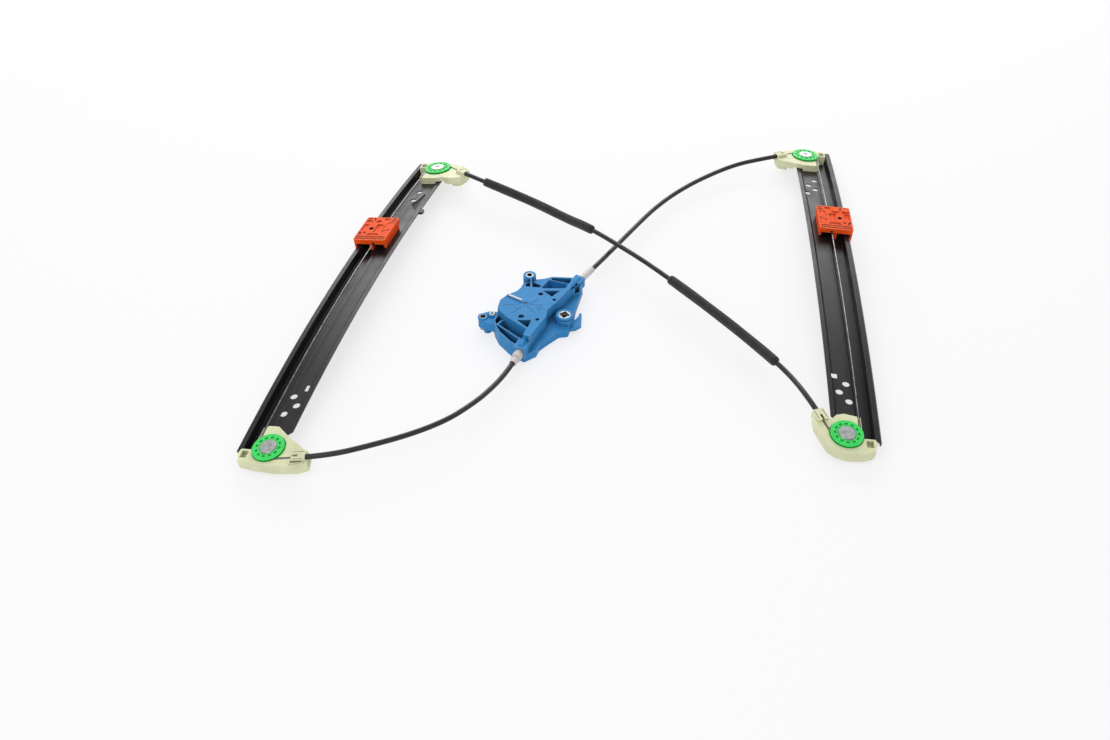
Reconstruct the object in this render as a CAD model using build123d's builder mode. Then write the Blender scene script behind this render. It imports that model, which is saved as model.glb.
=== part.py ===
"""Twin-rail cable window regulator: two curved rails, two carriers, one cable loop and its drum.

Millimetres, +Z up, lying on its back with the sliding side up.  X runs from the left rail to the
right rail, Y from the lower rail ends to the upper ones.  The origin is on the ground under the
centre of the bounding box.

Along a rail three numbers place everything: s is the arc length from the rail's middle, u is the
distance from the cable towards the other rail, and v is the height above the sheet's top face.
"""
import os
from math import asin, atan2, cos, degrees, hypot, radians, sin, tan

from build123d import *

os.makedirs("parts", exist_ok=True)

# ---------------------------------------------------------------- driving dimensions
BEND_R = 2500.0          # radius that the door glass, and so each rail, follows
PULLEY_SPAN = 572.0      # arc length between the two pulley axes of a rail
SHEET = 1.4              # rail sheet thickness
WIRE_R = 0.75            # steel wire rope
WIRE_V = 9.0             # height of the wire over the rail's sheet
GROOVE_R = 15.0          # wire centre line on a pulley
PULLEY_R = 18.0          # pulley outside radius
CONDUIT_R = 3.0          # cable conduit outside radius
SLEEVE_R = 6.0           # foam sleeve outside radius
BOLT_R = 4.2             # M8 clearance holes of the rails
CARRIER_S = 103.0        # where the carriers stand at rest
GLASS_BOLT_U = -12.4     # clamp bolt of the glass, and its M6 clearance hole
GLASS_BOLT_R = 3.2
DRUM_R = 22.0            # wire centre line on the drum
DRUM_AT = (-35.4, -66.8)  # drum axis before the shift below
SHIFT = Vector(-30.42, 10.89, 1.0)   # moves the assembly over the origin

# ---------------------------------------------------------------- rail frames


class Rail:
    """Places things along one rail.  side is +1 when the other rail lies towards +X."""

    def __init__(self, origin, turn, roll, side):
        az, rl = radians(turn), radians(roll)
        self.o = Vector(*origin) + SHIFT
        self.side = side
        self.ex = Vector(cos(rl) * cos(az), cos(rl) * sin(az), -sin(rl))
        self.ey = Vector(-sin(az), cos(az), 0)
        self.ez = Vector(sin(rl) * cos(az), sin(rl) * sin(az), cos(rl))
        self.drop = BEND_R * cos(PULLEY_SPAN / 2 / BEND_R)

    def point(self, s, u=0.0, v=0.0):
        a = s / BEND_R
        return (self.o + self.ex * (self.side * u) + self.ey * ((BEND_R + v) * sin(a))
                + self.ez * ((BEND_R + v) * cos(a) - self.drop))

    def normal(self, s):
        return self.ey * sin(s / BEND_R) + self.ez * cos(s / BEND_R)

    def tangent(self, s):
        return self.ey * cos(s / BEND_R) - self.ez * sin(s / BEND_R)

    def flat(self, s, v=0.0, u=0.0):
        """Plane touching the rail at s: local y runs along the rail, z is its normal."""
        return Plane(self.point(s, u, v), x_dir=self.ex, z_dir=self.normal(s))

    def section(self, s, u=0.0):
        """Plane across the rail at s: local y is the rail's normal."""
        return Plane(self.point(s, u), x_dir=self.ex, z_dir=self.tangent(s) * -1)

    def far_axis(self):
        return Axis(self.o - self.ez * self.drop, self.ex * -1)

    def uv(self, *pts):
        return [(self.side * u, t) for u, t in pts]


left = Rail((-247.1, -23.2, 10.0), -13.78, -7.5, 1)
right = Rail((350.3, 1.2, 10.0), -4.79, 3.5, -1)
S_UP, S_LOW = PULLEY_SPAN / 2, -PULLEY_SPAN / 2

# ---------------------------------------------------------------- rails

WEB = [(28.5, 2.8), (23.6, 2.8), (21.0, 0.0), (1.0, 0.0), (0.4, -1.0), (1.6, -SHEET), (21.6, -SHEET),
       (24.2, 2.8 - SHEET), (28.5, 2.8 - SHEET)]
CHANNEL = [(1.8, 0.0), (1.0, 0.0), (-1.5, -4.0), (-15.0, -4.0), (-17.0, 5.0), (-22.4, 5.0),
           (-24.0, 3.4), (-24.0, -1.0), (-22.6, -1.0), (-22.6, 2.9), (-21.9, 3.6), (-18.1, 3.6),
           (-16.1, -5.4), (-0.7, -5.4), (1.8, -SHEET)]


def swept(rail, outline, s0, s1):
    """Extrudes a cross-section round the far axis from s0 to s1."""
    with BuildSketch(rail.section(s0)) as face:
        with BuildLine():
            Polyline(*rail.uv(*outline), close=True)
        make_face()
    revolve(face.sketch, axis=rail.far_axis(), revolution_arc=degrees((s1 - s0) / BEND_R))


def hole(rail, s, u, r):
    with BuildSketch(rail.flat(s, -6)) as face:
        with Locations(rail.uv((u, 0))[0]):
            Circle(r)
    extrude(face.sketch, amount=9, mode=Mode.SUBTRACT)


def window(rail, s, *outline):
    """Cuts an opening whose corners are (u, distance from s)."""
    with BuildSketch(rail.flat(s, -6)) as face:
        with BuildLine():
            Polyline(*rail.uv(*outline), close=True)
        make_face()
    extrude(face.sketch, amount=10, mode=Mode.SUBTRACT)


def pressed_rail(rail, s_slot, slot):
    """The sheet with its flange, guide channel, bolt holes and trimmed inner corners."""
    swept(rail, WEB, -262, 274)
    swept(rail, CHANNEL, -289, 312)
    for s, u in ((-203, 6.8), (-216, 15.3), (-229.5, 5.5)):
        hole(rail, s, u, BOLT_R)
    window(rail, s_slot, *slot)
    window(rail, -262, (20, -3), (31, 9), (31, -3))
    window(rail, 274, (16, 3), (31, -6), (31, 3))


with BuildPart() as rail_left:
    pressed_rail(left, -189, ((15.2, -5), (15.2, 5), (19.8, 5), (19.8, -5)))
    hole(left, 229.4, 5.9, BOLT_R)
    hole(left, 205.2, 5.9, BOLT_R)
    window(left, 200, (16.2, 25), (18.2, 20), (18.2, -23), (9.0, -10), (8.6, -2), (12.0, 3))
    with BuildSketch(left.flat(172.7, -1.4)):
        with Locations((28.7, 0)):
            RectangleRounded(7.4, 9, 1.5)
    extrude(amount=3.5)
rail_left.part.label = "rail_left"
export_step(rail_left.part, "parts/rail_left.step")

with BuildPart() as rail_right:
    pressed_rail(right, -191.5, ((15.8, -4), (15.8, 4), (23.2, 4), (23.2, -4)))
    for s, u in ((227, 6.2), (212, 15.8), (200.6, 7.6)):
        hole(right, s, u, BOLT_R)
    window(right, 188.8, (15.6, -4), (15.6, 4), (22.8, 4), (22.8, -4))
rail_right.part.label = "rail_right"
export_step(rail_right.part, "parts/rail_right.step")

# ---------------------------------------------------------------- pulleys and pins

RING = [(6.08, 6.0), (17.2, 6.0), (18.0, 6.6), (18.0, 7.1), (14.0, 7.8), (13.8, 8.0), (13.8, 10.0),
        (14.0, 10.2), (18.0, 10.9), (18.0, 11.4), (17.2, 12.0), (9.8, 12.0), (9.8, 10.5), (6.08, 10.5)]
PIN = [(0, -5.0), (7.0, -5.0), (7.5, -4.5), (7.5, -4.05), (6.0, -4.05), (6.0, 10.9), (9.25, 10.9),
       (9.25, 12.2), (8.8, 12.6), (3.1, 12.6), (2.3, 11.6), (0, 11.6)]


def turned(rail, s, outline):
    """Revolves an (r, v) outline about the pulley axis at s."""
    with BuildSketch(rail.section(s, GROOVE_R)) as face:
        with BuildLine():
            Polyline(*outline, close=True)
        make_face()
    revolve(face.sketch, axis=Axis(rail.point(s, GROOVE_R), rail.normal(s)), revolution_arc=360)


def pulley_body(rail, s):
    turned(rail, s, RING)
    with BuildSketch(rail.flat(s, 11.1, GROOVE_R)) as face:
        with PolarLocations(13.7, 12):
            Rectangle(2.6, 3.0)
    extrude(face.sketch, amount=2, mode=Mode.SUBTRACT)


with BuildPart() as upper_pulley_left:
    pulley_body(left, S_UP)
upper_pulley_left.part.label = "upper_pulley_left"
export_step(upper_pulley_left.part, "parts/upper_pulley_left.step")

with BuildPart() as lower_pulley_left:
    pulley_body(left, S_LOW)
lower_pulley_left.part.label = "lower_pulley_left"
export_step(lower_pulley_left.part, "parts/lower_pulley_left.step")

with BuildPart() as upper_pulley_right:
    pulley_body(right, S_UP)
upper_pulley_right.part.label = "upper_pulley_right"
export_step(upper_pulley_right.part, "parts/upper_pulley_right.step")

with BuildPart() as lower_pulley_right:
    pulley_body(right, S_LOW)
lower_pulley_right.part.label = "lower_pulley_right"
export_step(lower_pulley_right.part, "parts/lower_pulley_right.step")

for node, rail, s in (("upper_pulley_pin_left", left, S_UP), ("lower_pulley_pin_left", left, S_LOW),
                      ("upper_pulley_pin_right", right, S_UP), ("lower_pulley_pin_right", right, S_LOW)):
    with BuildPart() as pulley_pin:
        turned(rail, s, PIN)
    pulley_pin.part.label = node
    export_step(pulley_pin.part, f"parts/{node}.step")

# ---------------------------------------------------------------- end brackets


def tangent_to(centre, r, end, turn):
    """Touching point and heading of a wire that leaves a circle for end, turning +1 or -1."""
    dx, dy = end[0] - centre[0], end[1] - centre[1]
    heading = atan2(dy, dx) + turn * asin(r / hypot(dx, dy))
    return (centre[0] + turn * r * sin(heading), centre[1] - turn * r * cos(heading)), heading


class Exit:
    """Where a conduit seats in an end bracket: end is (u, t) in the pulley's own plane."""

    def __init__(self, rail, s, end, turn):
        self.rail, self.s, self.end, self.turn = rail, s, end, turn
        self.touch, self.heading = tangent_to((GROOVE_R, 0), GROOVE_R, end, turn)
        self.reach = hypot(end[0] - self.touch[0], end[1] - self.touch[1])

    def strip(self, d0, d1, off, half):
        """Outline of a strip along the wire, from d0 to d1, off beside it and 2 half wide."""
        c, s_ = cos(self.heading), sin(self.heading)
        return [(self.end[0] + d * c - w * s_, self.end[1] + d * s_ + w * c)
                for d, w in ((d0, off - half), (d1, off - half), (d1, off + half), (d0, off + half))]

    def along(self, d):
        return (self.end[0] + d * cos(self.heading), self.end[1] + d * sin(self.heading))

    def world(self, u, t, v=WIRE_V):
        return (self.rail.point(self.s, u, v) + self.rail.tangent(self.s) * t)

    def line(self, d):
        """World point on the conduit's axis, d beyond the bracket's end face."""
        return self.world(*self.along(d))

    def way(self):
        return (self.line(1) - self.line(0)).normalized()

    def face_plane(self, d=0.0):
        return Plane(self.line(d), x_dir=self.rail.normal(self.s), z_dir=self.way())


exit_ll = Exit(left, S_LOW, (61.0, -7.0), 1)
exit_ul = Exit(left, S_UP, (62.0, -15.0), -1)
exit_ur = Exit(right, S_UP, (58.0, -10.0), -1)
exit_lr = Exit(right, S_LOW, (45.0, 29.6), 1)


def slab(rail, s, v0, v1, outline, mode=Mode.ADD, corner=0.0):
    """Prism from v0 to v1 over a (u, t) outline whose corners may be rounded."""
    with BuildSketch(rail.flat(s, v0)) as face:
        with BuildLine():
            Polyline(*rail.uv(*outline), close=True)
        make_face()
        if corner:
            fillet(face.vertices(), corner)
    extrude(face.sketch, amount=v1 - v0, mode=mode)


def end_bracket(exit_, plan, skirt, block, dovetail):
    """Moulded bracket: plan on the sheet, skirt beyond it, block in the guide channel."""
    rail, s = exit_.rail, exit_.s
    slab(rail, s, 0.1, 9.4, plan, corner=1.2)
    slab(rail, s, -4.0, 0.2, skirt, corner=1.2)
    slab(rail, s, -3.8, 6.4, block)
    slab(rail, s, 2.5, 12.6, exit_.strip(-15, 0, 0, 6.5), corner=1.2)
    for off in (-4.9, 4.9):
        slab(rail, s, 11.6, 13, exit_.strip(-13, -2, off, 0.45), Mode.SUBTRACT)
    with BuildSketch(rail.flat(s, 5.5)) as face:
        with Locations(rail.uv((GROOVE_R, 0))[0]):
            Circle(PULLEY_R + 0.8)
    extrude(face.sketch, amount=9, mode=Mode.SUBTRACT)
    with BuildSketch(rail.flat(s, -6)) as face:
        with Locations(rail.uv((GROOVE_R, 0))[0]):
            Circle(6.05)
    extrude(face.sketch, amount=14, mode=Mode.SUBTRACT)
    slab(rail, s, 3.6, 12, dovetail, Mode.SUBTRACT)
    inward = -1 if s > 0 else 1
    slab(rail, s, 7.2, 12, ((-1.6, 34 * inward), (1.6, 34 * inward), (1.6, 0), (-1.6, 0)), Mode.SUBTRACT)
    edge = -11.4 if s > 0 else 23.4
    slab(rail, s, -5, 3.2, ((20.4, edge), (20.4, 40 * inward), (33, 40 * inward), (33, edge)), Mode.SUBTRACT)
    slab(rail, s, 7.2, 14, exit_.strip(-exit_.reach, -8, 0, 1.4), Mode.SUBTRACT)
    with BuildSketch(exit_.face_plane(-8)) as face:
        Circle(CONDUIT_R + 0.1)
    extrude(face.sketch, amount=12, mode=Mode.SUBTRACT)


CHANNEL_BLOCK_UP = ((-14.2, 4), (-14.2, 19), (-2.2, 19), (-2.2, 4))
CHANNEL_BLOCK_LOW = ((-15.5, -3.4), (-15.5, -19), (-2.2, -19), (-2.2, -3.4))
POCKET_UP = ((-12.4, 6), (-12.4, 15), (-5.6, 15), (-5.6, 6))
POCKET_LOW = ((-13.4, -5.5), (-13.4, -15), (-5.8, -15), (-5.8, -5.5))

with BuildPart() as lower_bracket_left:
    end_bracket(
        exit_ll,
        ((-2, 27), (4, 30), (15, 30), (28, 20), (55.6, 2.4), (61, 0), (61, -7), (64, -15), (52, -20.5),
         (26, -23), (3, -21.5), (-14, -19), (-17, -9), (-15.5, -3.5), (-2.4, -3.5)),
        ((2.4, 22), (27, 19), (55.6, 2.4), (61, 0), (64, -15), (52, -20.5), (26, -23), (3, -21.5),
         (-14, -19), (-17, -9), (-15.5, -3.5), (2.4, -3.5)),
        CHANNEL_BLOCK_LOW, POCKET_LOW)
    slab(left, S_LOW, 9.3, 10.6, ((44, -13.6), (60, -11.2), (61.5, -16.2), (45.5, -18.8)))
    slab(left, S_LOW, 8.6, 11, ((46, -14.8), (58.4, -12.8), (59.4, -15.6), (47, -17.6)), Mode.SUBTRACT)
lower_bracket_left.part.label = "lower_bracket_left"
export_step(lower_bracket_left.part, "parts/lower_bracket_left.step")

with BuildPart() as upper_bracket_left:
    end_bracket(
        exit_ul,
        ((-2, -29), (3, -31), (20, -31), (31, -27), (42, -30), (56, -27), (60, -17), (62, -5), (50, 10),
         (25, 17.5), (4, 21.5), (-14.2, 20), (-14.2, 4), (-2.4, 4)),
        ((2.4, -11), (42, -11), (44, -27), (56, -27), (60, -17), (62, -5), (50, 10), (25, 17.5),
         (4, 21.5), (2.4, 21.5)),
        CHANNEL_BLOCK_UP, POCKET_UP)
upper_bracket_left.part.label = "upper_bracket_left"
export_step(upper_bracket_left.part, "parts/upper_bracket_left.step")

with BuildPart() as upper_bracket_right:
    end_bracket(
        exit_ur,
        ((-2, -29), (3, -31), (20, -31), (32, -28), (46, -25), (54, -22), (57, -10), (58, 0), (43, 14),
         (15, 21.6), (-6, 21.7), (-14.2, 18), (-14.2, 4), (-2.4, 4)),
        ((2.4, -11), (38, -11), (42, -24), (54, -22), (57, -10), (58, 0), (43, 14), (15, 21.6),
         (2.4, 21.6)),
        CHANNEL_BLOCK_UP, POCKET_UP)
upper_bracket_right.part.label = "upper_bracket_right"
export_step(upper_bracket_right.part, "parts/upper_bracket_right.step")

with BuildPart() as lower_bracket_right:
    end_bracket(
        exit_lr,
        ((-2, 26), (7, 27.5), (16, 29), (24, 26.5), (29, 20.5), (34.5, 20), (38, 29), (45, 29.6),
         (48.5, 24), (47.5, 12), (41.5, -3), (34, -17), (26, -23), (15, -26), (-4, -24.5), (-14, -20),
         (-18, -8), (-15.5, -3.5), (-2.4, -3.5)),
        ((2.4, 22), (24, 22), (29, 19), (34.5, 19), (38, 29), (45, 29.6), (48.5, 24), (47.5, 12),
         (41.5, -3), (34, -17), (26, -23), (15, -26), (-4, -24.5), (-14, -20), (-18, -8),
         (-15.5, -3.5), (2.4, -3.5)),
        CHANNEL_BLOCK_LOW, POCKET_LOW)
lower_bracket_right.part.label = "lower_bracket_right"
export_step(lower_bracket_right.part, "parts/lower_bracket_right.step")

# ---------------------------------------------------------------- carriers


def box_uv(rail, v0, v1, u0, u1, t0, t1, mode=Mode.ADD):
    slab(rail, CARRIER_S, v0, v1, ((u0, t0), (u1, t0), (u1, t1), (u0, t1)), mode)


def carrier_body(rail):
    """Glass carrier: ribbed plate over the wire, with shoes and hooks that hold it on the rail."""
    slab(rail, CARRIER_S, 7.5, 14, ((-27.5, -28), (16, -28), (16, 28), (-27.5, 28)), corner=3.0)
    for u0, u1, t0, t1 in ((3, 13.6, -12, 4), (3, 13.6, 7, 15), (-4, 1, -12, 4), (-25, -19.5, -12, 14),
                           (-18, -5.5, 9, 15)):
        box_uv(rail, 12, 16, u0, u1, t0, t1, Mode.SUBTRACT)
    for t in (-24.5, -20, -15.5):
        box_uv(rail, 12.8, 16, -24.5, 13, t, t + 2.2, Mode.SUBTRACT)
    for t in (17.5, 22):
        box_uv(rail, 12.8, 16, -24.5, 13, t, t + 2.2, Mode.SUBTRACT)
    slab(rail, CARRIER_S, 11.9, 14, ((3, -12), (5, -12), (13.6, 2), (13.6, 4), (11.6, 4), (3, -10)))
    slab(rail, CARRIER_S, 11.9, 14, ((3, 4), (3, 2), (11.6, -12), (13.6, -12), (13.6, -10), (5, 4)))
    box_uv(rail, 12.6, 16, -2.6, -0.6, 6.5, 12.5, Mode.SUBTRACT)
    box_uv(rail, -3.5, 7.6, -8.4, -3.6, -24, 24)
    box_uv(rail, 0.5, 7.6, 12, 15, -24, 24)
    for t in (-26, 13):
        box_uv(rail, -4, 7.6, -27.5, -25.2, t, t + 13)
        box_uv(rail, -4, -1.8, -25.3, -19.5, t, t + 13)
    box_uv(rail, 6, 10.6, -1.7, 1.7, -30, 30, Mode.SUBTRACT)
    for t in (-26.5, 17.5):
        box_uv(rail, 6, 11.8, -3.1, 3.1, t, t + 9, Mode.SUBTRACT)
    with BuildSketch(rail.flat(CARRIER_S, 6)) as face:
        with Locations(rail.uv((GLASS_BOLT_U, 0))[0]):
            Circle(GLASS_BOLT_R)
    extrude(face.sketch, amount=10, mode=Mode.SUBTRACT)


with BuildPart() as carrier_left:
    carrier_body(left)
carrier_left.part.label = "carrier_left"
export_step(carrier_left.part, "parts/carrier_left.step")

with BuildPart() as carrier_right:
    carrier_body(right)
carrier_right.part.label = "carrier_right"
export_step(carrier_right.part, "parts/carrier_right.step")


def nipple(rail, t):
    base = rail.flat(CARRIER_S, WIRE_V)
    start = base.from_local_coords((0, t, 0))
    with BuildSketch(Plane(start, x_dir=rail.ex, z_dir=rail.tangent(CARRIER_S))) as face:
        Circle(2.4)
        Circle(1.15, mode=Mode.SUBTRACT)
    extrude(face.sketch, amount=8)


for node, rail in (("cable_nipples_left", left), ("cable_nipples_right", right)):
    with BuildPart() as cable_nipples:
        nipple(rail, -26)
        nipple(rail, 18)
    cable_nipples.part.label = node
    export_step(cable_nipples.part, f"parts/{node}.step")

# ---------------------------------------------------------------- wire over each rail


def wire_end(exit_):
    """Arc round the pulley, then the straight run to the conduit's mouth."""
    rail, s = exit_.rail, exit_.s
    wrap = degrees(exit_.heading) - exit_.turn * 90 if exit_.turn < 0 else degrees(exit_.heading) - 90
    angle = (180 - (wrap % 360)) if exit_.turn < 0 else ((wrap % 360) - 180)
    spin = -exit_.turn * rail.side
    with BuildSketch(rail.section(s)) as face:
        with Locations((0, WIRE_V)):
            Circle(WIRE_R)
    axis = Axis(rail.point(s, GROOVE_R), rail.normal(s) * (-spin))
    revolve(face.sketch, axis=axis, revolution_arc=angle)
    a, b = exit_.world(*exit_.touch), exit_.line(-8.6)
    with BuildSketch(Plane(a, z_dir=(b - a).normalized())) as face:
        Circle(WIRE_R)
    extrude(face.sketch, amount=(b - a).length)


for node, rail, low, up in (("cable_left", left, exit_ll, exit_ul), ("cable_right", right, exit_lr, exit_ur)):
    with BuildPart() as cable_wire:
        with BuildSketch(rail.section(S_LOW)):
            with Locations((0, WIRE_V)):
                Circle(WIRE_R)
        revolve(axis=rail.far_axis(), revolution_arc=degrees(PULLEY_SPAN / BEND_R))
        wire_end(low)
        wire_end(up)
    cable_wire.part.label = node
    export_step(cable_wire.part, f"parts/{node}.step")

# ---------------------------------------------------------------- cable drum and its housing

DX, DY = DRUM_AT[0] + SHIFT.X, DRUM_AT[1] + SHIFT.Y
LOW_MOUTH, LOW_HEADING, LOW_Z = (-13.6, -93.2), 68.2, 15.0   # conduit seats, from the drum axis
UP_MOUTH, UP_HEADING, UP_Z = (82.3, 83.7), 236.3, 19.0


def sharp_corners(outline):
    """Points of a closed outline at which it turns by more than about 14 degrees."""
    ends = outline[-1:] + outline + outline[:1]
    found = []
    for (x0, y0), (x, y), (x1, y1) in zip(ends, ends[1:], ends[2:]):
        ux, uy, wx, wy = x - x0, y - y0, x1 - x, y1 - y
        if ux * wx + uy * wy < 0.97 * hypot(ux, uy) * hypot(wx, wy):
            found.append((DX + x, DY + y))
    return found


def prism(z0, z1, outline, mode=Mode.ADD, corner=0.0):
    """Prism from z0 to z1 over an outline measured from the drum's axis, sharp corners rounded if asked."""
    with BuildSketch(Plane.XY.offset(z0)) as face:
        with BuildLine():
            Polyline(*[(DX + x, DY + y) for x, y in outline], close=True)
        make_face()
        if corner:
            sharp = sharp_corners(outline)
            fillet([v for v in face.vertices() if any(hypot(v.X - x, v.Y - y) < 0.01 for x, y in sharp)],
                   corner)
    extrude(face.sketch, amount=z1 - z0, mode=mode)


def drilled(z0, z1, x, y, r, mode=Mode.SUBTRACT):
    with BuildSketch(Plane.XY.offset(z0)) as face:
        with Locations((DX + x, DY + y)):
            Circle(r)
    extrude(face.sketch, amount=z1 - z0, mode=mode)


def mouth_point(mouth, heading, z, d):
    """Point d along a conduit seat's axis, from the conduit's end towards the drum."""
    return Vector(DX + mouth[0] + d * cos(radians(heading)), DY + mouth[1] + d * sin(radians(heading)), z)


def seat(mouth, heading, z, d0, d1, r, mode=Mode.SUBTRACT):
    a, b = mouth_point(mouth, heading, z, d0), mouth_point(mouth, heading, z, d1)
    with BuildSketch(Plane(a, z_dir=(b - a).normalized())) as face:
        Circle(r)
    extrude(face.sketch, amount=(b - a).length, mode=mode)


def trench(mouth, heading, z, z1, d0, d1, half):
    """Opens a seat upwards over its whole width."""
    c, s_ = cos(radians(heading)), sin(radians(heading))
    corners = []
    for d, w in ((d0, -half), (d1, -half), (d1, half), (d0, half)):
        corners.append((mouth[0] + d * c - w * s_, mouth[1] + d * s_ + w * c))
    prism(z, z1, corners, Mode.SUBTRACT)


BASE = ((-38, -22), (-36, -31), (-31, -44), (-18, -62), (-9, -70), (-1, -76), (13, -66), (17, -55),
        (28, -43), (40, -31), (51, -29), (59, 3), (61, 17), (70, 55), (69, 65), (56, 70), (32, 69),
        (22, 64), (12, 69), (-3, 67), (-7, 56), (-3, 38), (-12, 26), (-24, 17), (-31, 8), (-34.5, -8))
BASE_IN = ((-33, -24), (-28, -43), (-15.5, -59.5), (-8, -66), (-1, -71), (10, -64), (13.5, -53),
           (26, -39.5), (39, -27.5), (47.5, -26), (56, 4), (58, 17), (66.5, 56), (65.5, 62), (55, 66.5),
           (33, 66), (24, 60), (14, 56), (0.5, 52), (1.5, 38), (-9, 23), (-22, 13), (-28, 6), (-31, -8))
MID = ((-38, -22), (-36, -31), (-31, -44), (-18, -62), (-9, -70), (4, -73), (4.5, -66), (13, -48),
       (24.4, -26), (26.4, -12), (39.3, 5.3), (55.8, 33.8), (67.5, 42), (69.5, 54.5), (56, 62.5),
       (32, 64), (22, 60), (9, 58), (-4, 56), (-3, 38), (-12, 26), (-24, 17), (-31, 8), (-34.5, -8))
TOP = ((-33.5, -8.6), (-29, -14), (-21.5, -19.9), (2.4, -45.2), (-2.4, -62), (4, -66), (13, -47.5),
       (24.4, -25.7), (26.4, -12), (39.3, 5.3), (55.8, 33.8), (50.3, 36.3), (17.4, 36.3), (22, 46),
       (8, 54), (-3, 50), (-2.3, 37.4), (-10.8, 24.8), (-23.6, 15.9), (-30.8, 7.1))
EAR = ((-56, -7), (-57, -15), (-50, -20), (-36, -26), (-32, -2), (-43, 0), (-50, -3))
CLIP = ((50, -24), (60, -22), (67, -16), (68, 4), (66.5, 10), (63, 0), (60, -5), (57, -4), (54, 3))

with BuildPart() as drum_housing:
    prism(1.5, 12, BASE, corner=2.0)
    prism(12, 22, MID, corner=2.0)
    prism(22, 30, TOP, corner=2.0)
    prism(6, 18, EAR, corner=1.5)
    prism(5, 9, CLIP, corner=1.0)
    drilled(2, 26, 3.8, 61, 8.0, Mode.ADD)
    drilled(2, 18, 46.8, -10.7, 11.0, Mode.ADD)
    for x, y, r in ((46, -21, 5.0), (-46, -16, 4.5), (56, 60, 5.0), (-8, -62, 5.0)):
        drilled(0, 6.5, x, y, r, Mode.ADD)
    prism(1.4, 9, BASE_IN, Mode.SUBTRACT, corner=1.0)
    drilled(1.4, 25.5, 0, 0, 29.5, Mode.ADD)
    drilled(2, 14, 3.8, 61, 8.0, Mode.ADD)
    drilled(2, 12, 46.8, -10.7, 11.0, Mode.ADD)
    for x, y, r in ((46, -21, 5.0), (56, 60, 5.0), (-8, -62, 5.0)):
        drilled(0, 9.5, x, y, r, Mode.ADD)
    # drum well with its journal recess, and three hooks that keep the drum in it
    drilled(-1, 25.4, 0, 0, 26.5)
    drilled(25, 28.3, 0, 0, 6.08)
    for turn in (20, 140, 260):
        c, s_ = cos(radians(turn)), sin(radians(turn))
        prism(5.4, 8.4, [(26.9 * c - 3 * s_, 26.9 * s_ + 3 * c), (23.6 * c - 3 * s_, 23.6 * s_ + 3 * c),
                         (23.6 * c + 3 * s_, 23.6 * s_ - 3 * c), (26.9 * c + 3 * s_, 26.9 * s_ - 3 * c)])
    # open pockets between the rib walls
    prism(11, 31, ((-22, -22), (0.6, -46), (-2.6, -58), (-29.5, -31)), Mode.SUBTRACT)
    prism(9, 31, ((-33.6, -33), (-29.4, -42.5), (-17, -59.5), (-9, -67), (-4.6, -63.5)), Mode.SUBTRACT)
    prism(11, 31, ((29, 53), (20, 38.5), (49, 38.5), (63, 42)), Mode.SUBTRACT)
    prism(11, 31, ((32, 61.5), (55.6, 60), (67, 52.6), (66, 45.5), (30.5, 57.5)), Mode.SUBTRACT)
    prism(26.5, 31, ((20.8, 24.8), (41.0, 24.8), (31.7, 13.2)), Mode.SUBTRACT)
    prism(26.5, 31, ((-8.5, -31.7), (6.6, -31.7), (4.6, -42)), Mode.SUBTRACT)
    for x, y, r in ((18.1, 18.6, 3.2), (34.4, 7.1, 2.4), (14.4, -30.8, 2.5), (-4.8, -24.9, 3.6), (0, 0, 2.2)):
        drilled(26.5, 31, x, y, r)
    # engraved spokes and ring of the drum cover
    for x0, y0, x1, y1 in ((-25, -2.6, -9, -2.6), (-4.8, -6, -15.5, -18.2), (1.5, -5, 11.2, -18.2),
                           (4.8, -2.6, 20.8, -2.6), (4.8, -0.9, 16.6, 9.5)):
        k = 0.45 / hypot(x1 - x0, y1 - y0)
        nx, ny = (y0 - y1) * k, (x1 - x0) * k
        prism(29.5, 31, ((x0 + nx, y0 + ny), (x1 + nx, y1 + ny), (x1 - nx, y1 - ny), (x0 - nx, y0 - ny)),
              Mode.SUBTRACT)
    # raised bead from the hub to the rim
    prism(29.9, 31.4, ((-3, 4), (-21.5, 17.5), (-23, 15), (-4.4, 1.6)))
    # seats of the two conduit ferrules and the wire ways behind them
    seat((LOW_MOUTH), LOW_HEADING, LOW_Z, 12, 47, 6.2)
    trench(LOW_MOUTH, LOW_HEADING, LOW_Z, 31, 12, 36, 6.2)
    seat(LOW_MOUTH, LOW_HEADING, LOW_Z, 40, 92, 1.6)
    seat(UP_MOUTH, UP_HEADING, UP_Z, 10, 40, 4.6)
    seat(UP_MOUTH, UP_HEADING, UP_Z, 36, 116, 1.6)
    # through holes of the three mounting bushes
    drilled(-1, 31, 3.8, 61, 5.0)
    drilled(-1, 31, -51.4, -11.5, 4.0)
    drilled(-1, 31, 46.8, -10.7, 9.0)
    drilled(12, 31, -40.4, -7.5, 1.9)
drum_housing.part.label = "drum_housing"
export_step(drum_housing.part, "parts/drum_housing.step")


def ring_about(x, y, outline):
    """Revolves an (r, z) outline about a vertical axis."""
    with BuildSketch(Plane(Vector(DX + x, DY + y, 0), x_dir=(1, 0, 0), z_dir=(0, -1, 0))) as face:
        with BuildLine():
            Polyline(*outline, close=True)
        make_face()
    revolve(face.sketch, axis=Axis((DX + x, DY + y, 0), (0, 0, 1)), revolution_arc=360)


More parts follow.
